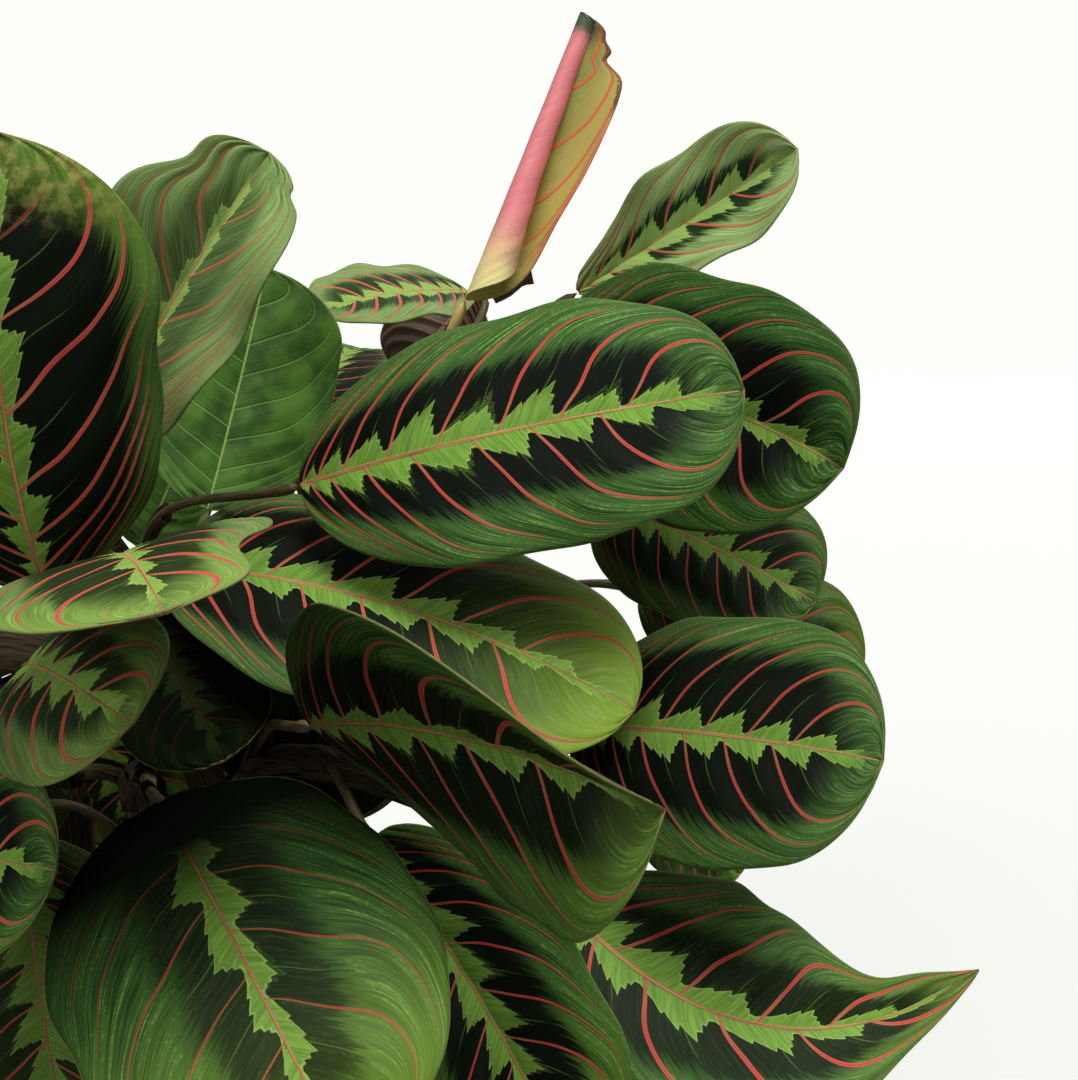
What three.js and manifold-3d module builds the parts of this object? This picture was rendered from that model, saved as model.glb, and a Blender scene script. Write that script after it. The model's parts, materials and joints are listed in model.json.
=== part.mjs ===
// A red-veined prayer plant (maranta) growing in a plain clay pot.
// Millimetres, +Z up. The origin is the middle of the pot's flat underside, on the surface it stands on.
// +X is to the right and +Y away from someone who looks at the plant from the front.

import * as THREE from "three";
import { mergeVertices } from "three/addons/utils/BufferGeometryUtils.js";
import Module from "manifold-3d";

const wasm = await Module();
wasm.setup();

// Driving sizes of the pot and its soil.
const POT_HEIGHT = 100;
const POT_RADIUS = 75;
const FOOT_RADIUS = 53;
const COLLAR_HEIGHT = 26;
const COLLAR_STEP = 4;
const WALL = 6;
const FLOOR = 8;
const DRAIN_RADIUS = 5;
const DRAIN_RING_RADIUS = 30;
const DRAIN_COUNT = 4;
const DRAIN_SIDES = 10;
const RIM_ROUND = 1.5;
const POT_SIDES = 40;
const SOIL_BELOW_RIM = 13;
const SOIL_MOUND = 4;

// Driving sizes of the stems and the blades.
const STEM_RADIUS = 2.6;
const STEM_DEPTH = 38;
const STEM_CLEAR = 6;
const STEM_SIDES = 6;
const STEM_STEPS = 2;
const PETIOLE_RADIUS = 1.45;
const PETIOLE_SIDES = 5;
const PETIOLE_STEPS = 5;
const PETIOLE_LEAVING = 0.4;
const PETIOLE_ARRIVING = 0.35;
const BLADE_THICKNESS = 0.8;
const GAP = 0.3;

// A blade's outline: where along it the rows lie, how blunt its ends are and how long its point is.
const BLADE_ROWS = [0, 0.04, 0.14, 0.3, 0.5, 0.7, 0.86, 0.95, 1];
const BLADE_COLUMNS = [-1, -0.55, 0, 0.55, 1];
const ROLLED_COLUMNS = [-1, -0.88, -0.75, -0.6, -0.45, -0.3, -0.15, 0, 0.25, 0.5, 0.75, 1];
const END_BLUNTNESS = 3;
const WIDEST_SKEW = 1.15;
const POINT_SHARE = 0.02;
const BASE_HALF_WIDTH = 1.3;
const TIP_HALF_WIDTH = 0.4;
const WAVES = 2.5;
const WAVE_PHASE = 1.3;

// Each shoot stands in the soil at root and bends through the other points.
const SHOOTS = {
  front: { root: [-4, -34], path: [[-3, -48, 150], [2, -72, 172], [6, -92, 188]] },
  trailing: { root: [14, -48], path: [[18, -62, 146], [26, -84, 157], [31, -104, 155]] },
  low_right: {
    root: [32, -30],
    path: [[44, -50, 146], [72, -72, 156], [104, -78, 146], [122, -70, 128]],
  },
  right: { root: [42, -4], path: [[60, -12, 150], [92, -26, 164], [118, -34, 158]] },
  tall_right: { root: [24, 18], path: [[36, 16, 165], [62, 14, 205], [86, 16, 236]] },
  centre: { root: [6, 2], path: [[8, -6, 155], [12, -18, 186], [14, -28, 206]] },
  left_front: { root: [-34, -24], path: [[-44, -34, 152], [-56, -42, 172], [-62, -46, 182]] },
  left: { root: [-38, 10], path: [[-46, 12, 158], [-56, 12, 186], [-58, 12, 204]] },
  back: { root: [-10, 40], path: [[-12, 46, 156], [-16, 54, 182], [-18, 58, 200]] },
  back_right: { root: [24, 42], path: [[34, 52, 150], [44, 62, 170], [50, 68, 186]] },
};

// Each leaf is on its shoot at a share of the way along it. base and tip are the ends of the blade's midrib,
// and face is the way its upper side looks. Shares of the length: arch bows the midrib to the upper side and
// bend to the right edge. Degrees: fold lifts the halves at the midrib, droop turns the edges down again and
// twist turns the blade along its length; a pair gives the angle at the base and at the tip. wave is the
// height of the ruffled edge, taper the share of the width that is lost towards the tip, and sweepRight how
// far the right half leans to the tip, as a share of its width. plain marks a leaf without red veins, and
// rolled the newest one, which needs more columns.
const LEAVES = {
  leaf_left_big: {
    on: ["front", 0.8], base: [12, -120, 212], tip: [12, -138, 312], face: [0.1, -1, 0.25],
    width: 70, arch: 0.06, bend: -0.04, fold: 8, droop: 24,
  },
  leaf_upper_left: {
    on: ["centre", 0.8], base: [12, -70, 241], tip: [59, -74, 313], face: [-0.1, -1, 0.2],
    width: 54, arch: 0.04, foldLeft: 35, foldRight: 25, droop: -10, wave: 2,
  },
  leaf_plain: {
    plain: true, on: ["centre", 0.5], base: [29, -10, 216], tip: [47, -5, 286], face: [0, -1, 0.1],
    width: 56, arch: -0.03, fold: 6, droop: 12,
  },
  leaf_sideways: {
    on: ["tall_right", 0.95], base: [103, 50, 279], tip: [58, 20, 273], face: [0, -0.55, 1],
    width: 40, arch: 0.05, fold: 8, droop: 10,
  },
  leaf_underside: {
    on: ["tall_right", 0.75], base: [104, 66, 278], tip: [82, 56, 252], face: [0.2, 1, 0.3],
    width: 34, arch: 0.1, fold: 10, droop: 20,
  },
  leaf_rolled_new: {
    rolled: true, on: ["tall_right", 0.85], base: [105, -12, 277], tip: [138, -2, 358],
    face: [0.9, -0.35, 0],
    width: 46, foldLeft: 15, foldRight: [0, 80], droopLeft: [-190, -400], droopRight: [-240, -10],
  },
  leaf_top_right: {
    on: ["tall_right", 0.9], base: [138, 20, 279], tip: [201, 0, 320], face: [-0.3, -1, 0.5],
    width: 35, arch: -0.05, bend: -0.03, foldLeft: 42, foldRight: 10, droop: 6, taper: -0.2,
  },
  leaf_right_dark: {
    on: ["tall_right", 0.6], base: [126, 0, 255], tip: [206, -60, 233], face: [0.1, -1, 0.4],
    width: 69, arch: 0.08, bend: -0.03, foldLeft: 32, foldRight: -4, droop: 18,
  },
  leaf_centre_large: {
    on: ["centre", 0.95], base: [64, -65, 229], tip: [176, -90, 255], face: [0, -1, 0.45],
    width: 64, arch: 0.06, fold: 8, droop: 26, wave: 1,
  },
  leaf_right_upper: {
    on: ["right", 0.5], base: [144, 0, 218], tip: [205, -25, 191], face: [0.1, -1, 0.5],
    width: 52, arch: 0.06, fold: 8, droop: 20,
  },
  leaf_right_far: {
    on: ["right", 0.75], base: [158, 20, 187], tip: [225, 10, 161], face: [0.1, -1, 0.6],
    width: 50, arch: 0.08, fold: 8, droop: 20,
  },
  leaf_right_round: {
    on: ["right", 0.95], base: [136, -60, 163], tip: [208, -112, 168], face: [0.1, -1, 0.5],
    width: 66, arch: 0.08, fold: 8, droop: 22,
  },
  leaf_front_dark: {
    on: ["low_right", 0.4], base: [71, -105, 175], tip: [152, -168, 173], face: [-0.1, -1, 0.2],
    width: 76, arch: 0.08, bend: -0.06, foldLeft: [40, 75], foldRight: [-42, 10], droopLeft: [20, -10],
    droopRight: 16, sweepRight: 0.25,
  },
  leaf_middle: {
    on: ["centre", 0.65], base: [27, -62, 207], tip: [150, -86, 174], face: [0.1, -0.7, 0.8],
    width: 66, arch: 0.06, bend: -0.03, fold: 8, droop: 24,
  },
  leaf_facing: {
    on: ["front", 0.97], base: [29, -120, 216], tip: [57, -200, 220], face: [-0.2, -0.16, 1],
    width: 66, arch: 0.08, fold: 4, droop: 16,
  },
  leaf_facing_low: {
    on: ["front", 0.6], base: [5, -112, 191], tip: [41, -160, 189], face: [-0.3, -0.8, 0.7],
    width: 48, arch: 0.12, fold: 4, droop: 24,
  },
  leaf_left_low: {
    on: ["trailing", 0.5], base: [-31, -110, 148], tip: [21, -150, 154], face: [-0.3, -1, 0.4],
    width: 48, arch: 0.1, fold: 8, droop: 20,
  },
  leaf_hanging: {
    on: ["trailing", 0.97], base: [37, -120, 160], tip: [88, -190, 106], face: [0, -0.75, 0.7],
    width: 80, arch: 0.14, fold: 4, droop: 24,
  },
  leaf_lower_middle: {
    on: ["low_right", 0.55], base: [84, -90, 141], tip: [133, -120, 69], face: [0.4, -1, 0.5],
    width: 56, arch: 0.1, foldLeft: [70, 30], foldRight: 10, droop: 20,
  },
  leaf_lower_behind: {
    on: ["low_right", 0.95], base: [132, -50, 114], tip: [134, -72, 57], face: [0.3, -1, 0.2],
    width: 48, arch: 0.08, fold: 8, droop: 20,
  },
  leaf_lower_right: {
    on: ["low_right", 0.8], base: [130, -80, 124], tip: [241, -80, 103], face: [0, -0.9, 0.6],
    width: 76, arch: 0.04, bend: 0.22, fold: 10, droop: 20, taper: 0.92,
  },
  leaf_right_scrap: {
    on: ["right", 0.3], base: [156, -20, 134], tip: [185, -20, 109], face: [0.1, -1, 0.3],
    width: 30, arch: 0.08, fold: 8, droop: 20,
  },
  leaf_in_shade: {
    on: ["centre", 0.3], base: [22, -60, 193], tip: [47, -90, 162], face: [0.1, -1, 0.5],
    width: 40, arch: 0.08, fold: 8, droop: 20,
  },
  leaf_shade_middle: {
    on: ["centre", 0.45], base: [34, -34, 180], tip: [90, -36, 146], face: [0, -1, 0.3],
    width: 58, arch: 0.08, fold: 8, droop: 20,
  },
  leaf_shade_left: {
    on: ["front", 0.3], base: [-35, -50, 163], tip: [-13, -54, 127], face: [-0.1, -1, 0.3],
    width: 40, arch: 0.08, fold: 8, droop: 20,
  },
  leaf_low_left: {
    on: ["trailing", 0.25], base: [-4, -90, 142], tip: [8, -106, 72], face: [-0.1, -1, 0.3],
    width: 60, arch: 0.06, fold: 8, droop: 22,
  },
  leaf_inner_left: {
    on: ["back", 0.2], base: [-22, 18, 166], tip: [2, 22, 106], face: [0, -1, 0.1],
    width: 52, arch: 0.05, fold: 6, droop: 16,
  },
  leaf_inner_right: {
    on: ["back_right", 0.2], base: [50, 34, 170], tip: [58, 28, 108], face: [0, -1, 0.1],
    width: 60, arch: 0.05, fold: 6, droop: 16,
  },
  leaf_small_plain: {
    plain: true, on: ["back", 0.5], base: [2, 22, 200], tip: [14, 22, 226], face: [0.2, -1, 0.1],
    width: 30, arch: 0.04, fold: 6, droop: 12,
  },
  leaf_left_low_1: {
    on: ["left_front", 0.5], base: [-48, -60, 162], tip: [-108, -132, 146], face: [-0.3, -0.3, 1],
    width: 60, arch: 0.1, fold: 8, droop: 24,
  },
  leaf_left_low_2: {
    on: ["left_front", 0.65], base: [-82, -28, 164], tip: [-182, -62, 150], face: [-0.2, -0.3, 1],
    width: 58, arch: 0.1, fold: 8, droop: 24, twist: 14,
  },
  leaf_left_low_3: {
    on: ["left", 0.4], base: [-80, 16, 172], tip: [-184, 34, 152], face: [-0.3, 0.1, 1],
    width: 58, arch: 0.11, fold: 6, droop: 26, wave: 1,
  },
  leaf_left_low_4: {
    on: ["left", 0.55], base: [-66, 56, 164], tip: [-146, 122, 142], face: [-0.2, 0.3, 1],
    width: 58, arch: 0.1, fold: 10, droop: 22,
  },
  leaf_back_low_1: {
    on: ["back", 0.5], base: [-28, 80, 168], tip: [-60, 174, 150], face: [-0.1, 0.3, 1],
    width: 58, arch: 0.1, fold: 8, droop: 26,
  },
  leaf_back_low_2: {
    on: ["back", 0.65], base: [16, 82, 160], tip: [34, 176, 140], face: [0.1, 0.4, 1],
    width: 56, arch: 0.1, fold: 8, droop: 24, twist: -14,
  },
  leaf_back_low_3: {
    on: ["back_right", 0.6], base: [62, 74, 166], tip: [122, 146, 146], face: [0.2, 0.3, 1],
    width: 56, arch: 0.1, fold: 6, droop: 22,
  },
  leaf_back_low_4: {
    on: ["back_right", 0.4], base: [88, 46, 142], tip: [176, 78, 124], face: [0.3, 0.1, 1],
    width: 54, arch: 0.1, fold: 8, droop: 24,
  },
  leaf_left_mid_1: {
    on: ["left_front", 0.85], base: [-62, -48, 208], tip: [-148, -106, 222], face: [0.4, -0.2, 1],
    width: 60, arch: 0.08, fold: 10, droop: 24, twist: 10,
  },
  leaf_left_mid_2: {
    on: ["left_front", 0.97], base: [-74, -8, 218], tip: [-176, -14, 230], face: [0.2, -0.2, 1],
    width: 56, arch: 0.1, fold: 8, droop: 24,
  },
  leaf_left_mid_3: {
    on: ["left", 0.8], base: [-66, 36, 206], tip: [-156, 76, 222], face: [0.3, 0, 1],
    width: 58, arch: 0.09, fold: 8, droop: 22,
  },
  leaf_back_mid_1: {
    on: ["back", 0.8], base: [-38, 62, 214], tip: [-94, 142, 232], face: [0.1, -0.2, 1],
    width: 58, arch: 0.08, fold: 8, droop: 26,
  },
  leaf_back_mid_2: {
    on: ["back", 0.97], base: [2, 72, 226], tip: [6, 166, 240], face: [0.1, -0.1, 1],
    width: 56, arch: 0.1, fold: 10, droop: 22,
  },
  leaf_back_mid_3: {
    on: ["back_right", 0.8], base: [50, 76, 208], tip: [96, 158, 218], face: [-0.1, -0.1, 1],
    width: 56, arch: 0.1, fold: 8, droop: 24, twist: -12,
  },
  leaf_left_high: {
    on: ["left", 0.95], base: [-52, -26, 246], tip: [-104, -50, 318], face: [-0.5, -0.8, 0.5],
    width: 56, arch: 0.06, fold: 10, droop: 20,
  },
  leaf_left_tall: {
    on: ["left", 0.7], base: [-48, 26, 250], tip: [-84, 46, 334], face: [-0.8, 0.3, 0.5],
    width: 58, arch: 0.06, fold: 10, droop: 18, wave: 1, twist: 16,
  },
  leaf_back_tall: {
    on: ["back", 0.7], base: [-14, 50, 242], tip: [-24, 100, 294], face: [0, 0.9, 0.7],
    width: 54, arch: 0.06, fold: 12, droop: 18,
  },
  leaf_back_high: {
    on: ["back_right", 0.95], base: [46, 60, 238], tip: [60, 128, 258], face: [0.1, -0.3, 1],
    width: 50, arch: 0.08, fold: 10, droop: 20,
  },
};

// Turns a three.js geometry into a solid that can be joined and cut.
function solid(geometry) {
  const bare = geometry.clone();
  bare.deleteAttribute("normal");
  bare.deleteAttribute("uv");
  const merged = mergeVertices(bare, 1e-3);
  return new wasm.Manifold(
    new wasm.Mesh({
      numProp: 3,
      vertProperties: new Float32Array(merged.attributes.position.array),
      triVerts: new Uint32Array(merged.index.array),
    }),
  );
}

// Turns a solid back into a three.js geometry.
function geometryOf(body) {
  const mesh = body.getMesh();
  const geometry = new THREE.BufferGeometry();
  geometry.setAttribute("position", new THREE.BufferAttribute(new Float32Array(mesh.vertProperties), 3));
  geometry.setIndex(new THREE.BufferAttribute(new Uint32Array(mesh.triVerts), 1));
  geometry.computeVertexNormals();
  return geometry;
}

const vector = (p) => new THREE.Vector3(...p);
const radians = THREE.MathUtils.degToRad;

// Half the blade's width at a share s of its length: blunt at both ends, with a short point at the tip.
function halfWidth(leaf, s) {
  const body = Math.min(1, s / (1 - POINT_SHARE));
  const across = Math.abs(2 * body ** WIDEST_SKEW - 1) ** END_BLUNTNESS;
  const drawnOut = 1 - (leaf.taper ?? 0) * s * s;
  const least = s < 0.5 ? BASE_HALF_WIDTH : TIP_HALF_WIDTH;
  return Math.max(least, (leaf.width / 2) * Math.sqrt(1 - across) * drawnOut);
}

// The midrib's point and its three directions at a share s of the blade's length.
function midrib(leaf, s) {
  const base = vector(leaf.base);
  const chord = vector(leaf.tip).sub(base);
  const length = chord.length();
  const along = chord.normalize();
  const up = vector(leaf.face);
  up.addScaledVector(along, -up.dot(along)).normalize();
  const right = along.clone().cross(up);
  const { arch = 0, bend = 0, twist = 0 } = leaf;
  const hump = 4 * s * (1 - s);
  const slope = 4 * (1 - 2 * s);
  const point = base
    .addScaledVector(along, length * s)
    .addScaledVector(up, length * arch * hump)
    .addScaledVector(right, length * bend * hump);
  const tangent = along
    .clone()
    .addScaledVector(up, arch * slope)
    .addScaledVector(right, bend * slope)
    .normalize();
  const normal = up.clone().addScaledVector(tangent, -up.dot(tangent)).normalize();
  normal.applyAxisAngle(tangent, radians(twist) * (s - 0.5));
  return { point, tangent, normal, side: tangent.clone().cross(normal) };
}

// An angle that is the same all along the blade, or is given at its base and at its tip.
const alongBlade = (angle, s) => (Array.isArray(angle) ? angle[0] + (angle[1] - angle[0]) * s : angle);

// A point of the blade's middle surface, t running from -1 at the left edge to 1 at the right one.
// From the midrib the half leaves at its fold and bends at an even rate, so that it never stretches.
function bladePoint(leaf, s, t) {
  const { point, tangent, normal, side } = midrib(leaf, s);
  const half = t > 0 ? "Right" : "Left";
  const angle = (kind) => radians(alongBlade(leaf[kind + half] ?? leaf[kind], s));
  const fold = angle("fold");
  const rate = angle("droop") / (leaf.width / 2);
  const reach = Math.abs(t) * halfWidth(leaf, s);
  const out = (Math.sin(fold) - Math.sin(fold - rate * reach)) / rate;
  const rise = (Math.cos(fold - rate * reach) - Math.cos(fold)) / rate;
  const share = reach / (leaf.width / 2);
  const phase = t > 0 ? 0 : WAVE_PHASE;
  const ripple = (leaf.wave ?? 0) * share * share * Math.sin(2 * Math.PI * WAVES * s + phase);
  const sweep = t > 0 ? (leaf.sweepRight ?? 0) : 0;
  return point
    .addScaledVector(side, Math.sign(t) * out)
    .addScaledVector(normal, rise + ripple)
    .addScaledVector(tangent, sweep * reach);
}

// A closed sheet of even thickness from a grid of points, its upper side on the left of row cross column.
function sheet(points, thickness) {
  const rows = points.length;
  const columns = points[0].length;
  const at = (i, j) => points[Math.min(rows - 1, Math.max(0, i))][Math.min(columns - 1, Math.max(0, j))];
  const positions = [];
  for (const face of [0.5, -0.5]) {
    for (let i = 0; i < rows; i++) {
      for (let j = 0; j < columns; j++) {
        const downLength = at(i + 1, j).clone().sub(at(i - 1, j));
        const acrossWidth = at(i, j + 1).clone().sub(at(i, j - 1));
        const normal = acrossWidth.cross(downLength).normalize();
        positions.push(...at(i, j).clone().addScaledVector(normal, face * thickness));
      }
    }
  }
  const under = rows * columns;
  const index = [];
  const quad = (a, b, c, d) => index.push(a, b, c, a, c, d);
  for (let i = 0; i + 1 < rows; i++) {
    for (let j = 0; j + 1 < columns; j++) {
      const a = i * columns + j;
      const [b, c, d] = [a + 1, a + columns + 1, a + columns];
      index.push(a, b, c, a, c, d);
      index.push(under + a, under + c, under + b, under + a, under + d, under + c);
    }
  }
  for (let j = 0; j + 1 < columns; j++) {
    quad(j + 1, j, under + j, under + j + 1);
    const last = (rows - 1) * columns + j;
    quad(last, last + 1, under + last + 1, under + last);
  }
  for (let i = 0; i + 1 < rows; i++) {
    const left = i * columns;
    quad(left, left + columns, under + left + columns, under + left);
    const right = left + columns - 1;
    quad(right + columns, right, under + right, under + right + columns);
  }
  const geometry = new THREE.BufferGeometry();
  geometry.setAttribute("position", new THREE.Float32BufferAttribute(positions, 3));
  geometry.setIndex(index);
  geometry.computeVertexNormals();
  return geometry;
}

function bladeGeometry(leaf) {
  const columns = leaf.rolled ? ROLLED_COLUMNS : BLADE_COLUMNS;
  const points = BLADE_ROWS.map((s) => columns.map((t) => bladePoint(leaf, s, t)));
  return sheet(points, BLADE_THICKNESS);
}

// A tube of the given radius along a curve, as a solid.
function tube(curve, radius, sides, steps) {
  const ring = new THREE.Shape();
  for (let k = 0; k < sides; k++) {
    const angle = (2 * Math.PI * k) / sides;
    const [x, y] = [radius * Math.cos(angle), radius * Math.sin(angle)];
    if (k === 0) ring.moveTo(x, y);
    else ring.lineTo(x, y);
  }
  ring.closePath();
  return solid(new THREE.ExtrudeGeometry(ring, { steps, extrudePath: curve, bevelEnabled: false }));
}

const soilTop = POT_HEIGHT - SOIL_BELOW_RIM;

// The line of a shoot above the soil, straight up where it leaves it.
function shootCurve(shoot) {
  const [x, y] = shoot.root;
  return new THREE.CatmullRomCurve3([
    new THREE.Vector3(x, y, soilTop + STEM_CLEAR),
    new THREE.Vector3(x, y, soilTop + 2 * STEM_CLEAR),
    ...shoot.path.map(vector),
  ]);
}

// The line of a leaf stalk, from inside its shoot to a gap short of the blade. It leaves half along the
// shoot and half upwards, and arrives in line with the midrib.
function petioleCurve(leaf) {
  const [name, share] = leaf.on;
  const stem = shootCurve(SHOOTS[name]);
  const start = stem.getPointAt(share);
  const { point, tangent } = midrib(leaf, 0);
  const end = point.clone().addScaledVector(tangent, -GAP);
  const reach = start.distanceTo(end);
  const leaving = stem.getTangentAt(share).add(new THREE.Vector3(0, 0, 1)).normalize();
  const first = start.clone().addScaledVector(leaving, reach * PETIOLE_LEAVING);
  const last = end.clone().addScaledVector(tangent, -reach * PETIOLE_ARRIVING);
  return new THREE.CubicBezierCurve3(start, first, last, end);
}

// A shoot: its stem, the straight foot in the soil and the stalks of its leaves, grown into one body.
function shootGeometry(name, leaves) {
  const shoot = SHOOTS[name];
  const [x, y] = shoot.root;
  const steps = STEM_STEPS * (shoot.path.length + 1);
  let body = tube(shootCurve(shoot), STEM_RADIUS, STEM_SIDES, steps);
  const foot = STEM_DEPTH + STEM_CLEAR + GAP;
  body = body.add(upright(x, y, soilTop - STEM_DEPTH, foot, STEM_RADIUS, STEM_SIDES));
  for (const leaf of leaves) {
    body = body.add(tube(petioleCurve(leaf), PETIOLE_RADIUS, PETIOLE_SIDES, PETIOLE_STEPS));
  }
  return geometryOf(body);
}

// The inside of the pot's wall below the collar, at a height z.
const collarFoot = POT_HEIGHT - COLLAR_HEIGHT;
const wallSlope = (POT_RADIUS - COLLAR_STEP - FOOT_RADIUS) / collarFoot;
const inside = (z) => FOOT_RADIUS + wallSlope * z - WALL;
const mouthRadius = POT_RADIUS - WALL - RIM_ROUND;

// Turns a profile of [radius, height] points about the pot's axis.
function turned(profile, sides) {
  const lathe = new THREE.LatheGeometry(profile.map(([r, z]) => new THREE.Vector2(r, z)), sides);
  lathe.rotateX(Math.PI / 2);
  return solid(lathe);
}

// An upright cylinder standing on the height bottom.
function upright(x, y, bottom, height, radius, sides) {
  const cylinder = new THREE.CylinderGeometry(radius, radius, height, sides);
  cylinder.rotateX(Math.PI / 2).translate(x, y, bottom + height / 2);
  return solid(cylinder);
}

// The pot: a turned wall and floor, with drain holes cut through the floor.
function potGeometry() {
  let body = turned(
    [
      [0, 0],
      [FOOT_RADIUS, 0],
      [FOOT_RADIUS + wallSlope * collarFoot, collarFoot],
      [POT_RADIUS - RIM_ROUND, collarFoot],
      [POT_RADIUS, collarFoot + RIM_ROUND],
      [POT_RADIUS, POT_HEIGHT - RIM_ROUND],
      [POT_RADIUS - RIM_ROUND, POT_HEIGHT],
      [mouthRadius, POT_HEIGHT],
      [inside(collarFoot), collarFoot],
      [inside(FLOOR), FLOOR],
      [0, FLOOR],
    ],
    POT_SIDES,
  );
  for (let k = 0; k < DRAIN_COUNT; k++) {
    const angle = (2 * Math.PI * (k + 0.5)) / DRAIN_COUNT;
    const [x, y] = [DRAIN_RING_RADIUS * Math.cos(angle), DRAIN_RING_RADIUS * Math.sin(angle)];
    body = body.subtract(upright(x, y, -FLOOR, 3 * FLOOR, DRAIN_RADIUS, DRAIN_SIDES));
  }
  return geometryOf(body);
}

// The soil fills the pot, is slightly mounded and has a plain hole for each shoot.
function soilGeometry() {
  const shrink = 2 * GAP;
  const shelf = inside(collarFoot) - shrink;
  const collarSlope = (mouthRadius - inside(collarFoot)) / COLLAR_HEIGHT;
  let body = turned(
    [
      [0, FLOOR + GAP],
      [inside(FLOOR) - shrink, FLOOR + GAP],
      [shelf, collarFoot],
      [shelf + collarSlope * (soilTop - collarFoot), soilTop],
      [shelf / 2, soilTop + 0.7 * SOIL_MOUND],
      [0, soilTop + SOIL_MOUND],
    ],
    POT_SIDES / 2,
  );
  for (const { root } of Object.values(SHOOTS)) {
    const bottom = soilTop - STEM_DEPTH - GAP;
    const height = STEM_DEPTH + 2 * STEM_CLEAR;
    body = body.subtract(upright(...root, bottom, height, STEM_RADIUS + GAP, STEM_SIDES));
  }
  return geometryOf(body);
}

const CLAY = new THREE.MeshStandardMaterial({ color: 0xb5694a, roughness: 0.9 });
const SOIL = new THREE.MeshStandardMaterial({ color: 0x2b1d14, roughness: 1 });
const STALK = new THREE.MeshStandardMaterial({ color: 0x5d4a30, roughness: 0.6 });
const BLADE = new THREE.MeshStandardMaterial({ color: 0x2f5b24, roughness: 0.5 });
const PLAIN_BLADE = new THREE.MeshStandardMaterial({ color: 0x3f7a34, roughness: 0.5 });
const NEW_BLADE = new THREE.MeshStandardMaterial({ color: 0xc9707a, roughness: 0.5 });

const plant = new THREE.Group();

function addPiece(name, geometry, material) {
  const mesh = new THREE.Mesh(geometry, material.clone());
  mesh.name = name;
  plant.add(mesh);
}

addPiece("pot", potGeometry(), CLAY);
addPiece("soil", soilGeometry(), SOIL);
for (const name of Object.keys(SHOOTS)) {
  const leaves = Object.values(LEAVES).filter((leaf) => leaf.on[0] === name);
  addPiece(`shoot_${name}`, shootGeometry(name, leaves), STALK);
}
for (const [name, leaf] of Object.entries(LEAVES)) {
  const grown = leaf.plain ? PLAIN_BLADE : BLADE;
  addPiece(name, bladeGeometry(leaf), leaf.rolled ? NEW_BLADE : grown);
}

export default plant;
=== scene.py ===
# %% [markdown]
# # A red-veined prayer plant in a clay pot
# The solids come first: they fix where every leaf, stem and the pot stand. Each of them is then dressed with
# a finer piece of the same shape, because a leaf's charm is in its thin edge, its quilted surface and its
# pattern. All sizes are in metres, with +Z up and the pot standing on z = 0.

import json
import random
from contextlib import contextmanager
from math import cos, hypot, pi, radians, sin, sqrt
from types import SimpleNamespace

import bpy
import numpy as np
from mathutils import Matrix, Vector, noise

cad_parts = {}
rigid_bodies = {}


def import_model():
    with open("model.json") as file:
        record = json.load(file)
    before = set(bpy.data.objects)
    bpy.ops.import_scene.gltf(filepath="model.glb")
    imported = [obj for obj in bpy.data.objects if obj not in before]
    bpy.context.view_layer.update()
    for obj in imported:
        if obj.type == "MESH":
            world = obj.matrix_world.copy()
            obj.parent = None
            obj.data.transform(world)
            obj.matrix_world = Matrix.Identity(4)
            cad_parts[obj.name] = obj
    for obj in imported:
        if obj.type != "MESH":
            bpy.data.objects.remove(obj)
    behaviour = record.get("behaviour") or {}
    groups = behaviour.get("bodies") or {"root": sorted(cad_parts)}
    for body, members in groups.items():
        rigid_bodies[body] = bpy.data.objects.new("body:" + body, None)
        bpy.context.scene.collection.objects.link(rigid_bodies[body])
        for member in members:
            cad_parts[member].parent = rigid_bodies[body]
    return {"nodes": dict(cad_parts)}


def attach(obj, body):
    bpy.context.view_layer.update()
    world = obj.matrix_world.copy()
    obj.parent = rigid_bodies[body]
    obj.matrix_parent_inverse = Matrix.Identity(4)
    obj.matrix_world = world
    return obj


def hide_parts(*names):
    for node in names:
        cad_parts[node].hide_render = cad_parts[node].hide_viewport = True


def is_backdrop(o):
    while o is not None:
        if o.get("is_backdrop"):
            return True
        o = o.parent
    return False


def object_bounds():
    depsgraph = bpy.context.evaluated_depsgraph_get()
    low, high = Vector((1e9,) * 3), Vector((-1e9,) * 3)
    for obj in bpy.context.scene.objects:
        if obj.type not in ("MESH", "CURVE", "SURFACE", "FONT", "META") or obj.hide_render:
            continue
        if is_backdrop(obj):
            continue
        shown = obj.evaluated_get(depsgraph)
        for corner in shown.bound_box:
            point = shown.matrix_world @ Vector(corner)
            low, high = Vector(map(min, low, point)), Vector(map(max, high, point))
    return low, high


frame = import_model()
solid_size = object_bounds()
MM = 0.001
random.seed(7)
print("solids:", len(frame["nodes"]))

# %% [markdown]
# ## The table of leaves
# Every leaf is one row: where its blade begins and ends, where its upper side looks, and how it bends. The
# same rows shaped the solids, so a finer blade made from them lies exactly where its solid does. Lengths are
# in mm.

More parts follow.
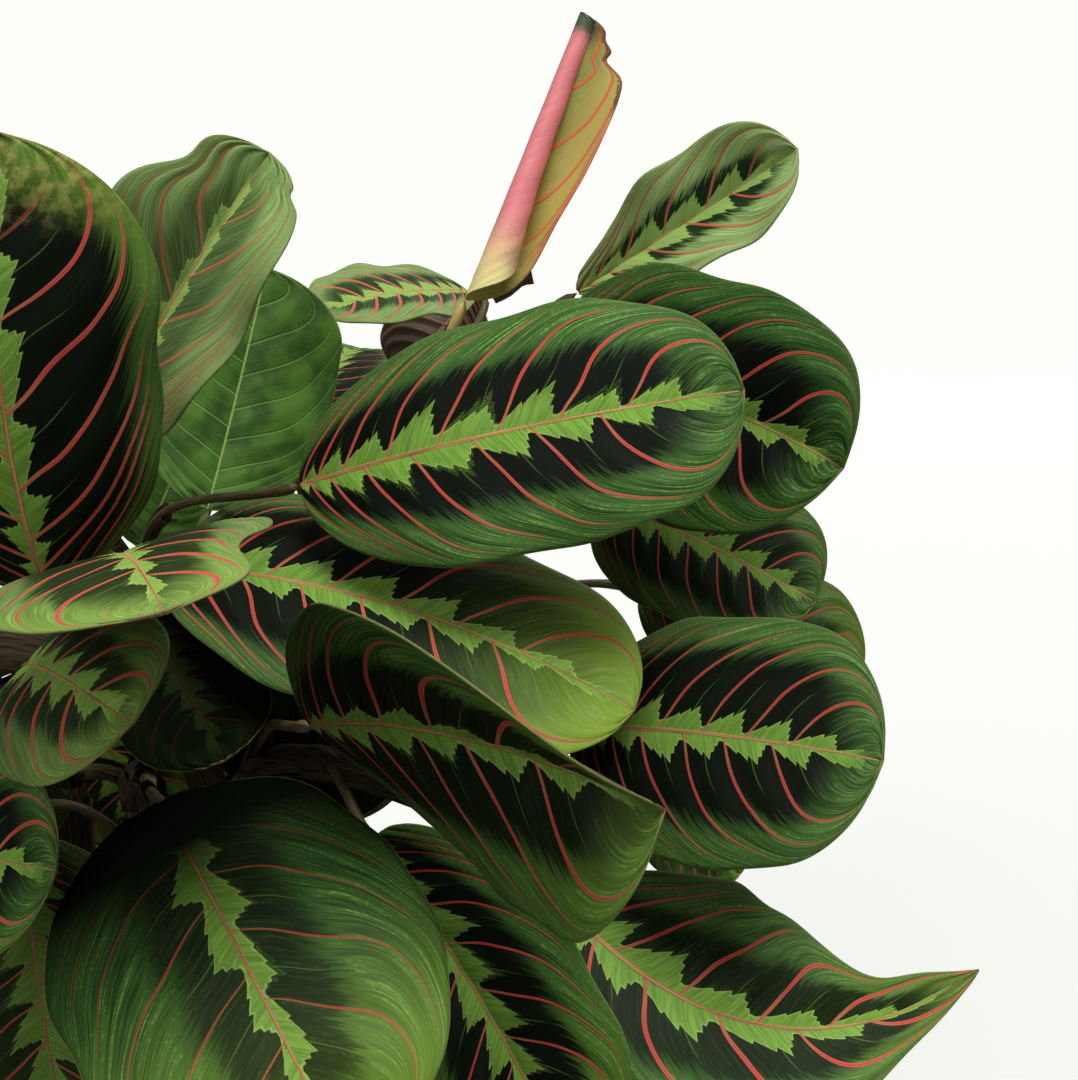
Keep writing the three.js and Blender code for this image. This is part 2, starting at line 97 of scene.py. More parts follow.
# %% Where the shoots grow
SHOOTS = {
    "front": [[-4, -34], [-3, -48, 150], [2, -72, 172], [6, -92, 188]],
    "trailing": [[14, -48], [18, -62, 146], [26, -84, 157], [31, -104, 155]],
    "low_right": [[32, -30], [44, -50, 146], [72, -72, 156], [104, -78, 146], [122, -70, 128]],
    "right": [[42, -4], [60, -12, 150], [92, -26, 164], [118, -34, 158]],
    "tall_right": [[24, 18], [36, 16, 165], [62, 14, 205], [86, 16, 236]],
    "centre": [[6, 2], [8, -6, 155], [12, -18, 186], [14, -28, 206]],
    "left_front": [[-34, -24], [-44, -34, 152], [-56, -42, 172], [-62, -46, 182]],
    "left": [[-38, 10], [-46, 12, 158], [-56, 12, 186], [-58, 12, 204]],
    "back": [[-10, 40], [-12, 46, 156], [-16, 54, 182], [-18, 58, 200]],
    "back_right": [[24, 42], [34, 52, 150], [44, 62, 170], [50, 68, 186]],
}


def row(shoot, share, base, tip, face, width, arch=0.08, fold=8, droop=20, **more):
    """Arch and bend are shares of the length; fold, droop and twist are degrees, a pair for base and tip."""
    return dict(on=(shoot, share), base=base, tip=tip, face=face, width=width, arch=arch, fold=fold,
                droop=droop, **more)


# %% Where the leaves are that show from the front
SEEN = {
    "left_big": row("front", 0.8, (12, -120, 212), (12, -138, 312), (0.1, -1, 0.25), 70, arch=0.06,
                    bend=-0.04, droop=24),
    "upper_left": row("centre", 0.8, (12, -70, 241), (59, -74, 313), (-0.1, -1, 0.2), 54, arch=0.04,
                      foldLeft=35, foldRight=25, droop=-10, wave=2),
    "plain": row("centre", 0.5, (29, -10, 216), (47, -5, 286), (0, -1, 0.1), 56, arch=-0.03, fold=6,
                 droop=12),
    "sideways": row("tall_right", 0.95, (103, 50, 279), (58, 20, 273), (0, -0.55, 1), 40, arch=0.05,
                    droop=10),
    "underside": row("tall_right", 0.75, (104, 66, 278), (82, 56, 252), (0.2, 1, 0.3), 34, arch=0.1, fold=10),
    "rolled_new": row("tall_right", 0.85, (105, -12, 277), (138, -2, 358), (0.9, -0.35, 0), 46, arch=0,
                      foldLeft=15, foldRight=(0, 80), droopLeft=(-190, -400), droopRight=(-240, -10)),
    "top_right": row("tall_right", 0.9, (138, 20, 279), (201, 0, 320), (-0.3, -1, 0.5), 35, arch=-0.05,
                     bend=-0.03, foldLeft=42, foldRight=10, droop=6, taper=-0.2),
    "right_dark": row("tall_right", 0.6, (126, 0, 255), (206, -60, 233), (0.1, -1, 0.4), 69, bend=-0.03,
                      foldLeft=32, foldRight=-4, droop=18),
    "centre_large": row("centre", 0.95, (64, -65, 229), (176, -90, 255), (0, -1, 0.45), 64, arch=0.06,
                        droop=26, wave=1),
    "right_upper": row("right", 0.5, (144, 0, 218), (205, -25, 191), (0.1, -1, 0.5), 52, arch=0.06),
    "right_far": row("right", 0.75, (158, 20, 187), (225, 10, 161), (0.1, -1, 0.6), 50),
    "right_round": row("right", 0.95, (136, -60, 163), (208, -112, 168), (0.1, -1, 0.5), 66, droop=22),
    "front_dark": row("low_right", 0.4, (71, -105, 175), (152, -168, 173), (-0.1, -1, 0.2), 76, bend=-0.06,
                      foldLeft=(40, 75), foldRight=(-42, 10), droopLeft=(20, -10), droopRight=16,
                      sweepRight=0.25),
    "middle": row("centre", 0.65, (27, -62, 207), (150, -86, 174), (0.1, -0.7, 0.8), 66, arch=0.06,
                  bend=-0.03, droop=24),
    "facing": row("front", 0.97, (29, -120, 216), (57, -200, 220), (-0.2, -0.16, 1), 66, fold=4, droop=16),
    "facing_low": row("front", 0.6, (5, -112, 191), (41, -160, 189), (-0.3, -0.8, 0.7), 48, arch=0.12, fold=4,
                      droop=24),
    "left_low": row("trailing", 0.5, (-31, -110, 148), (21, -150, 154), (-0.3, -1, 0.4), 48, arch=0.1),
    "hanging": row("trailing", 0.97, (37, -120, 160), (88, -190, 106), (0, -0.75, 0.7), 80, arch=0.14, fold=4,
                   droop=24),
    "lower_middle": row("low_right", 0.55, (84, -90, 141), (133, -120, 69), (0.4, -1, 0.5), 56, arch=0.1,
                        foldLeft=(70, 30), foldRight=10),
    "lower_behind": row("low_right", 0.95, (132, -50, 114), (134, -72, 57), (0.3, -1, 0.2), 48),
    "lower_right": row("low_right", 0.8, (130, -80, 124), (241, -80, 103), (0, -0.9, 0.6), 76, arch=0.04,
                       bend=0.22, fold=10, taper=0.92),
    "right_scrap": row("right", 0.3, (156, -20, 134), (185, -20, 109), (0.1, -1, 0.3), 30),
    "in_shade": row("centre", 0.3, (22, -60, 193), (47, -90, 162), (0.1, -1, 0.5), 40),
    "shade_middle": row("centre", 0.45, (34, -34, 180), (90, -36, 146), (0, -1, 0.3), 58),
    "shade_left": row("front", 0.3, (-35, -50, 163), (-13, -54, 127), (-0.1, -1, 0.3), 40),
    "low_left": row("trailing", 0.25, (-4, -90, 142), (8, -106, 72), (-0.1, -1, 0.3), 60, arch=0.06,
                    droop=22),
    "inner_left": row("back", 0.2, (-22, 18, 166), (2, 22, 106), (0, -1, 0.1), 52, arch=0.05, fold=6,
                      droop=16),
    "inner_right": row("back_right", 0.2, (50, 34, 170), (58, 28, 108), (0, -1, 0.1), 60, arch=0.05, fold=6,
                       droop=16),
    "small_plain": row("back", 0.5, (2, 22, 200), (14, 22, 226), (0.2, -1, 0.1), 30, arch=0.04, fold=6,
                       droop=12),
}

# %% Where the leaves are on the left and at the back
FAR = {
    "left_low_1": row("left_front", 0.5, (-48, -60, 162), (-108, -132, 146), (-0.3, -0.3, 1), 60, arch=0.1,
                      droop=24),
    "left_low_2": row("left_front", 0.65, (-82, -28, 164), (-182, -62, 150), (-0.2, -0.3, 1), 58, arch=0.1,
                      droop=24, twist=14),
    "left_low_3": row("left", 0.4, (-80, 16, 172), (-184, 34, 152), (-0.3, 0.1, 1), 58, arch=0.11, fold=6,
                      droop=26, wave=1),
    "left_low_4": row("left", 0.55, (-66, 56, 164), (-146, 122, 142), (-0.2, 0.3, 1), 58, arch=0.1, fold=10,
                      droop=22),
    "back_low_1": row("back", 0.5, (-28, 80, 168), (-60, 174, 150), (-0.1, 0.3, 1), 58, arch=0.1, droop=26),
    "back_low_2": row("back", 0.65, (16, 82, 160), (34, 176, 140), (0.1, 0.4, 1), 56, arch=0.1, droop=24,
                      twist=-14),
    "back_low_3": row("back_right", 0.6, (62, 74, 166), (122, 146, 146), (0.2, 0.3, 1), 56, arch=0.1, fold=6,
                      droop=22),
    "back_low_4": row("back_right", 0.4, (88, 46, 142), (176, 78, 124), (0.3, 0.1, 1), 54, arch=0.1,
                      droop=24),
    "left_mid_1": row("left_front", 0.85, (-62, -48, 208), (-148, -106, 222), (0.4, -0.2, 1), 60, fold=10,
                      droop=24, twist=10),
    "left_mid_2": row("left_front", 0.97, (-74, -8, 218), (-176, -14, 230), (0.2, -0.2, 1), 56, arch=0.1,
                      droop=24),
    "left_mid_3": row("left", 0.8, (-66, 36, 206), (-156, 76, 222), (0.3, 0, 1), 58, arch=0.09, droop=22),
    "back_mid_1": row("back", 0.8, (-38, 62, 214), (-94, 142, 232), (0.1, -0.2, 1), 58, droop=26),
    "back_mid_2": row("back", 0.97, (2, 72, 226), (6, 166, 240), (0.1, -0.1, 1), 56, arch=0.1, fold=10,
                      droop=22),
    "back_mid_3": row("back_right", 0.8, (50, 76, 208), (96, 158, 218), (-0.1, -0.1, 1), 56, arch=0.1,
                      droop=24, twist=-12),
    "left_high": row("left", 0.95, (-52, -26, 246), (-104, -50, 318), (-0.5, -0.8, 0.5), 56, arch=0.06,
                     fold=10),
    "left_tall": row("left", 0.7, (-48, 26, 250), (-84, 46, 334), (-0.8, 0.3, 0.5), 58, arch=0.06, fold=10,
                     droop=18, wave=1, twist=16),
    "back_tall": row("back", 0.7, (-14, 50, 242), (-24, 100, 294), (0, 0.9, 0.7), 54, arch=0.06, fold=12,
                     droop=18),
    "back_high": row("back_right", 0.95, (46, 60, 238), (60, 128, 258), (0.1, -0.3, 1), 50, fold=10),
}
LEAVES = {**SEEN, **FAR}

# %% Where their outlines are bitten
BITES = {
    "upper_left": [(-1, 0.86, 0.07, 0.22), (1, 0.93, 0.02, 0.16), (-1, 0.6, 0.08, 0.05)],
    "top_right": [(-1, 0.12, 0.2, 0.35), (1, 0.12, 0.2, 0.3)],
    "facing": [(-1, 0.1, 0.14, 0.3), (-1, 0.75, 0.2, 0.4)],
    "lower_right": [(-1, 0.8, 0.1, 0.34), (-1, 0.58, 0.1, -0.06), (1, 0.84, 0.16, 0.34)],
    "middle": [(-1, 0.13, 0.1, -0.4)],
    "rolled_new": [(1, 0.88, 0.03, 0.3), (1, 0.94, 0.03, 0.25)],
}
for name, bites in BITES.items():
    LEAVES[name]["bites"] = bites
print("leaves:", len(SEEN), "in front,", len(FAR), "on the left and behind")

# %% [markdown]
# ## Sums on a surface, as nodes
# A leaf's pattern is a sum: how far a point is from the midrib, from the nearest vein and from the edge. In a
# material each plus or minus is a Math node, and a hundred of them are hard to read. So one small helper lets
# the sums be written as ordinary Python and adds the nodes behind them.

# %% A number that flows through a material
class Wire:
    def __init__(self, tree, socket):
        self.tree, self.socket = tree, socket

    def math(self, operation, *values):
        """A Math node that works on the values given, or on this number alone."""
        node = self.tree.nodes.new("ShaderNodeMath")
        node.operation = operation
        for value, socket in zip(values or [self], node.inputs):
            plug(value, socket)
        return Wire(self.tree, node.outputs[0])

    def __add__(self, other):
        return self.math("ADD", self, other)

    def __sub__(self, other):
        return self.math("SUBTRACT", self, other)

    def __mul__(self, other):
        return self.math("MULTIPLY", self, other)

    def __truediv__(self, other):
        return self.math("DIVIDE", self, other)

    def __rsub__(self, other):
        return self.math("SUBTRACT", other, self)

    __radd__ = __add__
    __rmul__ = __mul__


def colour(red, green, blue):
    """A colour picked from a screen, 0 to 255, as the light it stands for."""
    linear = [((c / 255 + 0.055) / 1.055) ** 2.4 if c > 10 else c / 255 / 12.92 for c in (red, green, blue)]
    return (*linear, 1.0)


def plug(value, socket):
    """Feeds a socket with a wire, with a plain number or with a colour as picked from a screen."""
    if isinstance(value, Wire):
        value.tree.links.new(value.socket, socket)
    else:
        socket.default_value = colour(*value) if isinstance(value, tuple) else value


# %% Steps, noise and mixed colours on top of it
def rising(value, low, high):
    """0 below low, 1 above high, and a soft step between them."""
    node = value.tree.nodes.new("ShaderNodeMapRange")
    node.interpolation_type = "SMOOTHSTEP"
    for name, given in (("Value", value), ("From Min", low), ("From Max", high)):
        plug(given, node.inputs[name])
    return Wire(value.tree, node.outputs["Result"])


def falling(value, low, high):
    return 1 - rising(value, low, high)


def point(x, y, z):
    node = x.tree.nodes.new("ShaderNodeCombineXYZ")
    for value, socket in zip((x, y, z), node.inputs):
        plug(value, socket)
    return Wire(x.tree, node.outputs[0])


def parts_of(vector):
    """The three numbers of a vector."""
    node = vector.tree.nodes.new("ShaderNodeSeparateXYZ")
    plug(vector, node.inputs[0])
    return [Wire(vector.tree, socket) for socket in node.outputs]


def mottle(where, scale, detail=3.0, roughness=0.55):
    """Noise from about 0.2 to 0.8, around 0.5."""
    node = where.tree.nodes.new("ShaderNodeTexNoise")
    for name, value in (("Vector", where), ("Scale", scale), ("Detail", detail), ("Roughness", roughness)):
        plug(value, node.inputs[name])
    return Wire(where.tree, node.outputs["Fac"])


def chance(where):
    """A random number from 0 to 1 for each place."""
    node = where.tree.nodes.new("ShaderNodeTexWhiteNoise")
    plug(where, node.inputs["Vector"])
    return Wire(where.tree, node.outputs["Value"])


def blend(share, first, second):
    node = share.tree.nodes.new("ShaderNodeMix")
    node.data_type = "RGBA"
    for value, place in ((share, 0), (first, 6), (second, 7)):
        plug(value, node.inputs[place])
    return Wire(share.tree, node.outputs[2])


# %% A new finish, what it reads from the surface, and what it gives to the shader
def finish_called(name, specular=0.4):
    material = bpy.data.materials.new(name)
    material.use_nodes = True
    shader = material.node_tree.nodes["Principled BSDF"]
    shader.inputs["Specular IOR Level"].default_value = specular
    return material, material.node_tree, shader


def stored(tree, name):
    """The three numbers stored under a name at each vertex."""
    attribute = tree.nodes.new("ShaderNodeAttribute")
    attribute.attribute_name = name
    return parts_of(Wire(tree, attribute.outputs["Vector"]))


def placed(tree):
    return Wire(tree, tree.nodes.new("ShaderNodeTexCoord").outputs["Object"])


def dress(shader, body, roughness, height, strength):
    """Colour, roughness and fine relief, whose height is in mm."""
    plug(body, shader.inputs["Base Color"])
    plug(roughness, shader.inputs["Roughness"])
    bump = body.tree.nodes.new("ShaderNodeBump")
    for name, value in (("Strength", strength), ("Distance", MM), ("Height", height)):
        plug(value, bump.inputs[name])
    body.tree.links.new(bump.outputs["Normal"], shader.inputs["Normal"])


# %% [markdown]
# ## The leaf's pattern
# On the real leaf a yellow-green band with a jagged edge follows the midrib. Outside it lie near-black
# blotches that feather out along the veins into a green margin, and red veins arch through all of it from the
# midrib to the edge. A painted picture would blur when seen close. Sums on each point's place on the blade
# stay sharp, and every leaf gets its own noise. Each vertex stores how far it is across and along the blade
# and from the edge, and a number that rises by one from each vein to the next.

# %% How the blade's places are read
def blade_places(tree):
    reach, along, margin = stored(tree, "blade_place")
    veins, across, gap = stored(tree, "blade_vein")
    seed, dark, pale = stored(tree, "blade_look")
    red, yellow, dry = stored(tree, "blade_more")
    share, small, shaded = stored(tree, "blade_share")
    band_reach, spread, bold = stored(tree, "blade_pattern")
    right = reach.math("GREATER_THAN", reach, 0.0)
    drift = mottle(point(reach, along, seed * 31), 0.035, 1.0)
    count = veins + right * 0.45 + (drift - 0.5) * 0.5
    between = count.math("FRACT")
    from_vein = between.math("MINIMUM", between, 1 - between) * gap
    streak = mottle(point(count * 22, across * 3.0, seed * 7 + right * 3), 1.0, 2.0, 0.65)
    grain = mottle(point(reach, along, seed * 17), 0.9, 2.0, 0.65)
    luck = chance(point(count.math("FLOOR"), right, seed))
    return SimpleNamespace(**locals())


# %% The red-veined upper side
def jagged(between):
    """How far the yellow-green band reaches, as a share of the half blade, from one vein to the next."""
    node = between.tree.nodes.new("ShaderNodeFloatCurve")
    curve = node.mapping.curves[0]
    teeth = [(0, 0.07), (0.1, 0.11), (0.22, 0.2), (0.26, 0.16), (0.42, 0.29), (0.46, 0.22), (0.6, 0.35),
             (0.65, 0.23), (0.72, 0.22), (0.76, 0.12), (0.8, 0.13), (0.86, 0.05), (0.93, 0.04), (1, 0.07)]
    while len(curve.points) < len(teeth):
        curve.points.new(0.5, 0.5)
    for spot, place in zip(curve.points, teeth):
        spot.location = place
        spot.handle_type = "VECTOR"
    node.mapping.update()
    plug(between, node.inputs["Value"])
    return Wire(between.tree, node.outputs[0])


def vein_ink(at):
    """Where the red veins are, and how red."""
    swell = 0.62 + at.across * 1.7 - at.across * at.across * 2.0
    half = swell * at.small * at.bold * 0.36
    line = falling(at.from_vein, half * 0.72, half * 1.25) * falling(at.across, 0.82, 0.97)
    line = line * falling(at.share - at.across * 0.3, 0.74, 0.8)
    ink = blend(rising(at.across, 0.1, 0.34), (168, 96, 64), (184, 38, 48))
    ink = blend(rising(at.across, 0.5, 0.9), ink, (146, 72, 54))
    # Painted light and sheen lighten the veins of pale leaves too.
    ink = blend(at.pale * 0.4, ink, (206, 128, 104))
    core = falling(at.from_vein, half * 0.1, half * 0.75)
    return line, blend(0.5 - core * 0.45 + at.grain * 0.1, ink, (198, 112, 86))


def midrib_ink(at):
    half = (0.2 + 0.45 * (1 - at.share)) * at.small
    line = falling(at.reach.math("ABSOLUTE"), half * 0.75, half * 1.2)
    thread = mottle(point(at.reach * 3, at.along * 0.04, at.seed), 1.0, 2.0)
    return line, blend(rising(thread, 0.4, 0.6), (150, 98, 62), (196, 144, 100))


def veined_upper(name, flecked=False):
    material, tree, shader = finish_called(name)
    at = blade_places(tree)
    across, share, grain, streak = at.across, at.share, at.grain, at.streak
    size = 0.75 + 0.55 * at.luck
    band = jagged(at.between) * size * (1.05 - 0.3 * share) * at.band_reach
    band = band + falling(share, 0.3, 0.75) * at.band_reach * 0.08 + (streak - 0.5) * 0.012
    in_band = falling(across - band, -0.004, 0.006) * falling(share, 0.9, 0.99)
    rim_of_band = falling((across - band + 0.004).math("ABSOLUTE"), 0.002, 0.012)
    dark_end = 0.58 + at.spread + at.between * 0.12 - share * 0.12 + (streak - 0.5) * 0.6
    blotch = falling(across - dark_end, -0.10, 0.08) * at.dark * falling(share + across * 0.1, 0.84, 1.02)
    # Towards the tip the leaf turns yellow-green: partly its own yellowing, partly painted light where the
    # tip catches the sun.
    young = rising(share, 0.45, 1.0) * at.yellow
    blotch = blotch * (1 - rising(at.yellow, 0.5, 1.0) * rising(share, 0.45, 1.0) * 0.7)
    green = blend(rising(streak, 0.3, 0.72), (28, 56, 22), (74, 118, 44))
    green = blend(rising(grain * 0.6 + streak, 0.86, 1.1) * 0.7, green, (134, 172, 88))
    # Painted light and sheen: pale leaves, which catch the light, are lightened towards a pale grey-green,
    # and so are their blotches and band.
    pale_green = blend(rising(streak, 0.3, 0.7), (112, 146, 78), (170, 194, 124))
    green = blend(at.pale, green, pale_green)
    green = blend(young * 0.6, green, (140, 168, 56))
    body = blend(blotch, green, blend(at.pale * 0.6, (7, 12, 5), (40, 64, 34)))
    lime = blend(rising(streak, 0.35, 0.65), (94, 134, 46), (122, 162, 64))
    lime = blend(at.pale * 0.7, lime, (162, 192, 108))
    body = blend(in_band, body, lime)
    body = blend(rim_of_band * in_band * 0.6, body, (164, 192, 100))
    midway = falling((at.between - 0.5).math("ABSOLUTE") * at.gap, 0.05, 0.2)
    body = blend(midway * falling(across, 0.3, 0.5) * 0.4, body, (112, 138, 58))
    line, ink = vein_ink(at)
    body = blend(line * at.red, body, ink)
    rib, rib_ink = midrib_ink(at)
    body = blend(rib, body, rib_ink)
    # Painted shade: the colour darkens towards near-black by the leaf's share in SHADED, and its gloss fades
    # with it.
    body = blend(at.shaded, body, (9, 14, 7))
    if flecked:
        speck = rising(mottle(point(at.reach, at.along, at.seed), 0.3, 3.0, 0.6), 0.42, 0.66)
        body = blend(at.yellow * 1.6 * speck * rising(share, 0.78, 1.0), body, (164, 164, 84))
    dried = rising(share + (grain - 0.5) * 0.1 + at.dry, 1.0, 1.03)
    body = blend(dried, body, (104, 72, 46))
    body = blend(falling(at.margin, 0.05, 0.35) * 0.6, body, (128, 124, 76))
    dress(shader, body, 0.44 + streak * 0.14, line * 0.12 + rib * 0.35 + streak * 0.14, 0.7)
    plug((0.1 - blotch * 0.03) * (1 - at.shaded), shader.inputs["Specular IOR Level"])
    return material


# %% The other blades: plain green, and every underside
def plain_upper():
    material, tree, shader = finish_called("plain_green_upper_side", specular=0.25)
    at = blade_places(tree)
    streak, grain = at.streak, at.grain
    cloud = mottle(point(at.reach, at.along, at.seed), 0.09, 2.0)
    body = blend(rising(cloud + streak * 0.3, 0.5, 0.8), (44, 76, 22), (74, 114, 36))
    aside, out = (at.between - 0.45) / 0.17, (at.across - 0.22 - at.luck * 0.2) / 0.1
    round_spot = falling(aside * aside + out * out + (grain - 0.5) * 1.2, 0.5, 1.1)
    body = blend(round_spot * rising(at.luck, 0.7, 0.72) * 0.9, body, (14, 26, 12))
    half = (0.34 - at.across * 0.16) * at.small
    line = falling(at.from_vein, half * 0.5, half * 1.5)
    body = blend(line * 0.5, body, (112, 150, 74))
    rib = falling(at.reach.math("ABSOLUTE"), 0.25, 0.5)
    body = blend(rib * 0.8, body, (150, 176, 92))
    body = blend(falling(at.margin, 0.1, 0.5) * 0.6, body, (120, 128, 72))
    dress(shader, body, 0.4 + streak * 0.16, line * -0.3 + rib * -0.2 + streak * 0.06, 0.8)
    return material


def under_side(name, skin, vein):
    material, tree, shader = finish_called(name, specular=0.3)
    at = blade_places(tree)
    body = blend(at.streak * 0.6 + at.grain * 0.4, skin[0], skin[1])
    line = falling(at.from_vein, 0.25, 0.6)
    body = blend(line * 0.7, body, vein)
    rib = falling(at.reach.math("ABSOLUTE"), 0.9, 1.4)
    body = blend(rib, body, vein)
    dress(shader, body, 0.45 + at.streak * 0.15, line * 0.2 + rib * 0.6, 0.8)
    return material


UPPER = veined_upper("red_veined_upper_side")
FLECKED_UPPER = veined_upper("flecked_upper_side", flecked=True)
PLAIN_UPPER = plain_upper()
UNDER = under_side("olive_maroon_underside", ((60, 52, 34), (94, 70, 52)), (134, 102, 72))
PLAIN_UNDER = under_side("grey_green_underside", ((92, 112, 74), (116, 132, 92)), (150, 160, 116))
print("finishes for blades:", UPPER.name, PLAIN_UPPER.name, UNDER.name, PLAIN_UNDER.name)

# %% [markdown]
# ## A blade's shape
# A leaf blade could be cut out of a plane and pulled into shape by hand. Nearly fifty of them are better made
# from one blank: a fine grid whose two directions are "across the blade" and "along the midrib". Every vertex
# then moves to where its leaf's row says. The halves fold up at the midrib and roll over at an even rate, so
# the blade bends but never stretches, as a real one does.

# %% The blank, a plain grid
def deselect():
    bpy.ops.object.select_all(action="DESELECT")


@contextmanager
def editing():
    """Edit mode with everything selected, and out of it again."""
    bpy.ops.object.mode_set(mode="EDIT")
    bpy.ops.mesh.select_all(action="SELECT")
    yield
    bpy.ops.object.mode_set(mode="OBJECT")


def grid_blank(name, columns, rows):
    deselect()
    bpy.ops.mesh.primitive_grid_add(x_subdivisions=columns, y_subdivisions=rows, size=2)
    blank = bpy.context.object
    blank.name = name
    with editing():
        bpy.ops.mesh.faces_shade_smooth()
    return blank


def copy_of(blank, name):
    piece = blank.copy()
    piece.data = blank.data.copy()
    piece.name = piece.data.name = name
    bpy.context.collection.objects.link(piece)
    deselect()
    piece.select_set(True)
    bpy.context.view_layer.objects.active = piece
    return piece


def places_of(piece):
    flat = np.zeros(len(piece.data.vertices) * 3)
    piece.data.vertices.foreach_get("co", flat)
    return flat.reshape(-1, 3)


def move_to(piece, points):
    piece.data.vertices.foreach_set("co", np.asarray(points, float).ravel())
    piece.data.update()


def store(piece, name, *columns):
    attribute = piece.data.attributes.new(name, "FLOAT_VECTOR", "POINT")
    attribute.data.foreach_set("vector", np.column_stack(columns).ravel())


# %% The blade's outline and midrib
def unit(vectors):
    return vectors / np.linalg.norm(vectors, axis=-1, keepdims=True)


def half_width(leaf, s):
    body = np.minimum(1, s / 0.997)
    across = np.abs(2 * body ** 1.15 - 1) ** 3
    drawn_out = 1 - leaf.get("taper", 0) * s * s
    return np.maximum(np.where(s < 0.5, 1.3, 0.15), leaf["width"] / 2 * np.sqrt(1 - across) * drawn_out)


def midrib(leaf, s):
    """Points along the midrib, in mm, with the blade's three directions there."""
    base, tip, up = (np.array(leaf[name], float) for name in ("base", "tip", "face"))
    length = np.linalg.norm(tip - base)
    along = (tip - base) / length
    up = unit(up - along * up.dot(along))
    right = np.cross(along, up)
    arch, bend, twist = (leaf.get(name, 0) for name in ("arch", "bend", "twist"))
    hump, slope = (4 * s * (1 - s))[:, None], (4 * (1 - 2 * s))[:, None]
    points = base + along * length * s[:, None] + up * length * arch * hump + right * length * bend * hump
    tangent = unit(along + up * arch * slope + right * bend * slope)
    normal = unit(up - tangent * (tangent @ up)[:, None])
    turn = (radians(twist) * (s - 0.5))[:, None]
    normal = normal * np.cos(turn) + np.cross(tangent, normal) * np.sin(turn)
    return points, tangent, normal, np.cross(tangent, normal)


def half_at(leaf, s, t):
    """The half width with a slightly uneven outline and the leaf's bites: side, share, length and depth of
    each. A bite of negative depth is a bulge."""
    turn = sum(leaf["base"]) + 2.1 * (t > 0)
    half = half_width(leaf, s)
    if "coil" not in leaf:
        half = half * (1 + 0.02 * np.sin(11 * s + turn) + 0.012 * np.sin(23 * s + 3 * turn))
    for side, place, long, deep in leaf.get("bites", ()):
        half = half * (1 - deep * np.exp(-((s - place) / long) ** 2) * (t * side > 0))
    return half


# %% The blade's surface
def along_blade(angle, s):
    first, last = angle if isinstance(angle, tuple) else (angle, angle)
    return np.radians(first + (last - first) * s)


COIL_STEPS = 40


def coiled(fold, rate, reach, tighter):
    """Like a watch spring: the bend grows with the distance from the midrib, so that the turns lie inside
    each other. It is summed in small steps."""
    steps = (np.arange(COIL_STEPS) + 0.5) / COIL_STEPS
    far = reach[:, None] * steps
    leaning = fold[:, None] - rate[:, None] * far * (1 + tighter * far)
    step = reach / COIL_STEPS
    last = fold - rate * reach * (1 + tighter * reach)
    return np.cos(leaning).sum(1) * step, np.sin(leaning).sum(1) * step, last


def blade_surface(leaf, s, t):
    """Where the points at shares s along and t across (-1 to 1) lie, and which way the surface looks
    there."""
    middle, tangent, normal, side = midrib(leaf, s)
    is_right = t > 0
    fold, droop = (
        np.where(is_right, along_blade(leaf.get(kind + "Right", leaf.get(kind)), s),
                 along_blade(leaf.get(kind + "Left", leaf.get(kind)), s))
        for kind in ("fold", "droop")
    )
    reach = np.abs(t) * half_at(leaf, s, t)
    rate = droop / (leaf["width"] / 2)
    rate = np.where(np.abs(rate) < 1e-5, 1e-5, rate)
    leaning = fold - rate * reach
    out = (np.sin(fold) - np.sin(leaning)) / rate
    rise = (np.cos(leaning) - np.cos(fold)) / rate
    if "coil" in leaf:
        out, rise, leaning = coiled(fold, rate, reach, leaf["coil"] / (leaf["width"] / 2))
    phase = np.where(is_right, 0, 1.3) + sum(leaf["tip"])
    edge = reach / (leaf["width"] / 2)
    rise = rise + (leaf.get("wave", 0) + 0.9) * edge ** 2 * np.sin(2 * pi * 2.5 * s + phase)
    sweep = np.where(is_right, leaf.get("sweepRight", 0) * reach, 0)
    sign = np.sign(t)
    points = middle + side * (sign * out)[:, None] + normal * rise[:, None] + tangent * sweep[:, None]
    looks = normal * np.cos(leaning)[:, None] - side * (sign * np.sin(leaning))[:, None]
    return points, looks, reach


# %% Where the veins run
VEIN_SHIFT = 0.45


def vein_count(s, across, steep=1.0):
    """Rises by one from each vein to the next; the veins sweep to the tip as they near the edge."""
    sweep = steep * (0.2 * across + 0.19 * across ** 4.6)
    foot = s - sweep * 1.12 * s / (s + 0.12)
    above = np.maximum(foot, 0)
    return 7.2 * above + 1.8 * (1 - np.exp(-above / 0.07)) + 20 * np.minimum(foot, 0) - 0.25


def vein_gap(s, across, steep, length, half):
    step = 1e-3
    along = (vein_count(s + step, across, steep) - vein_count(s, across, steep)) / step / length
    out = (vein_count(s, across + step, steep) - vein_count(s, across, steep)) / step / half
    return 1 / np.sqrt(along ** 2 + out ** 2)
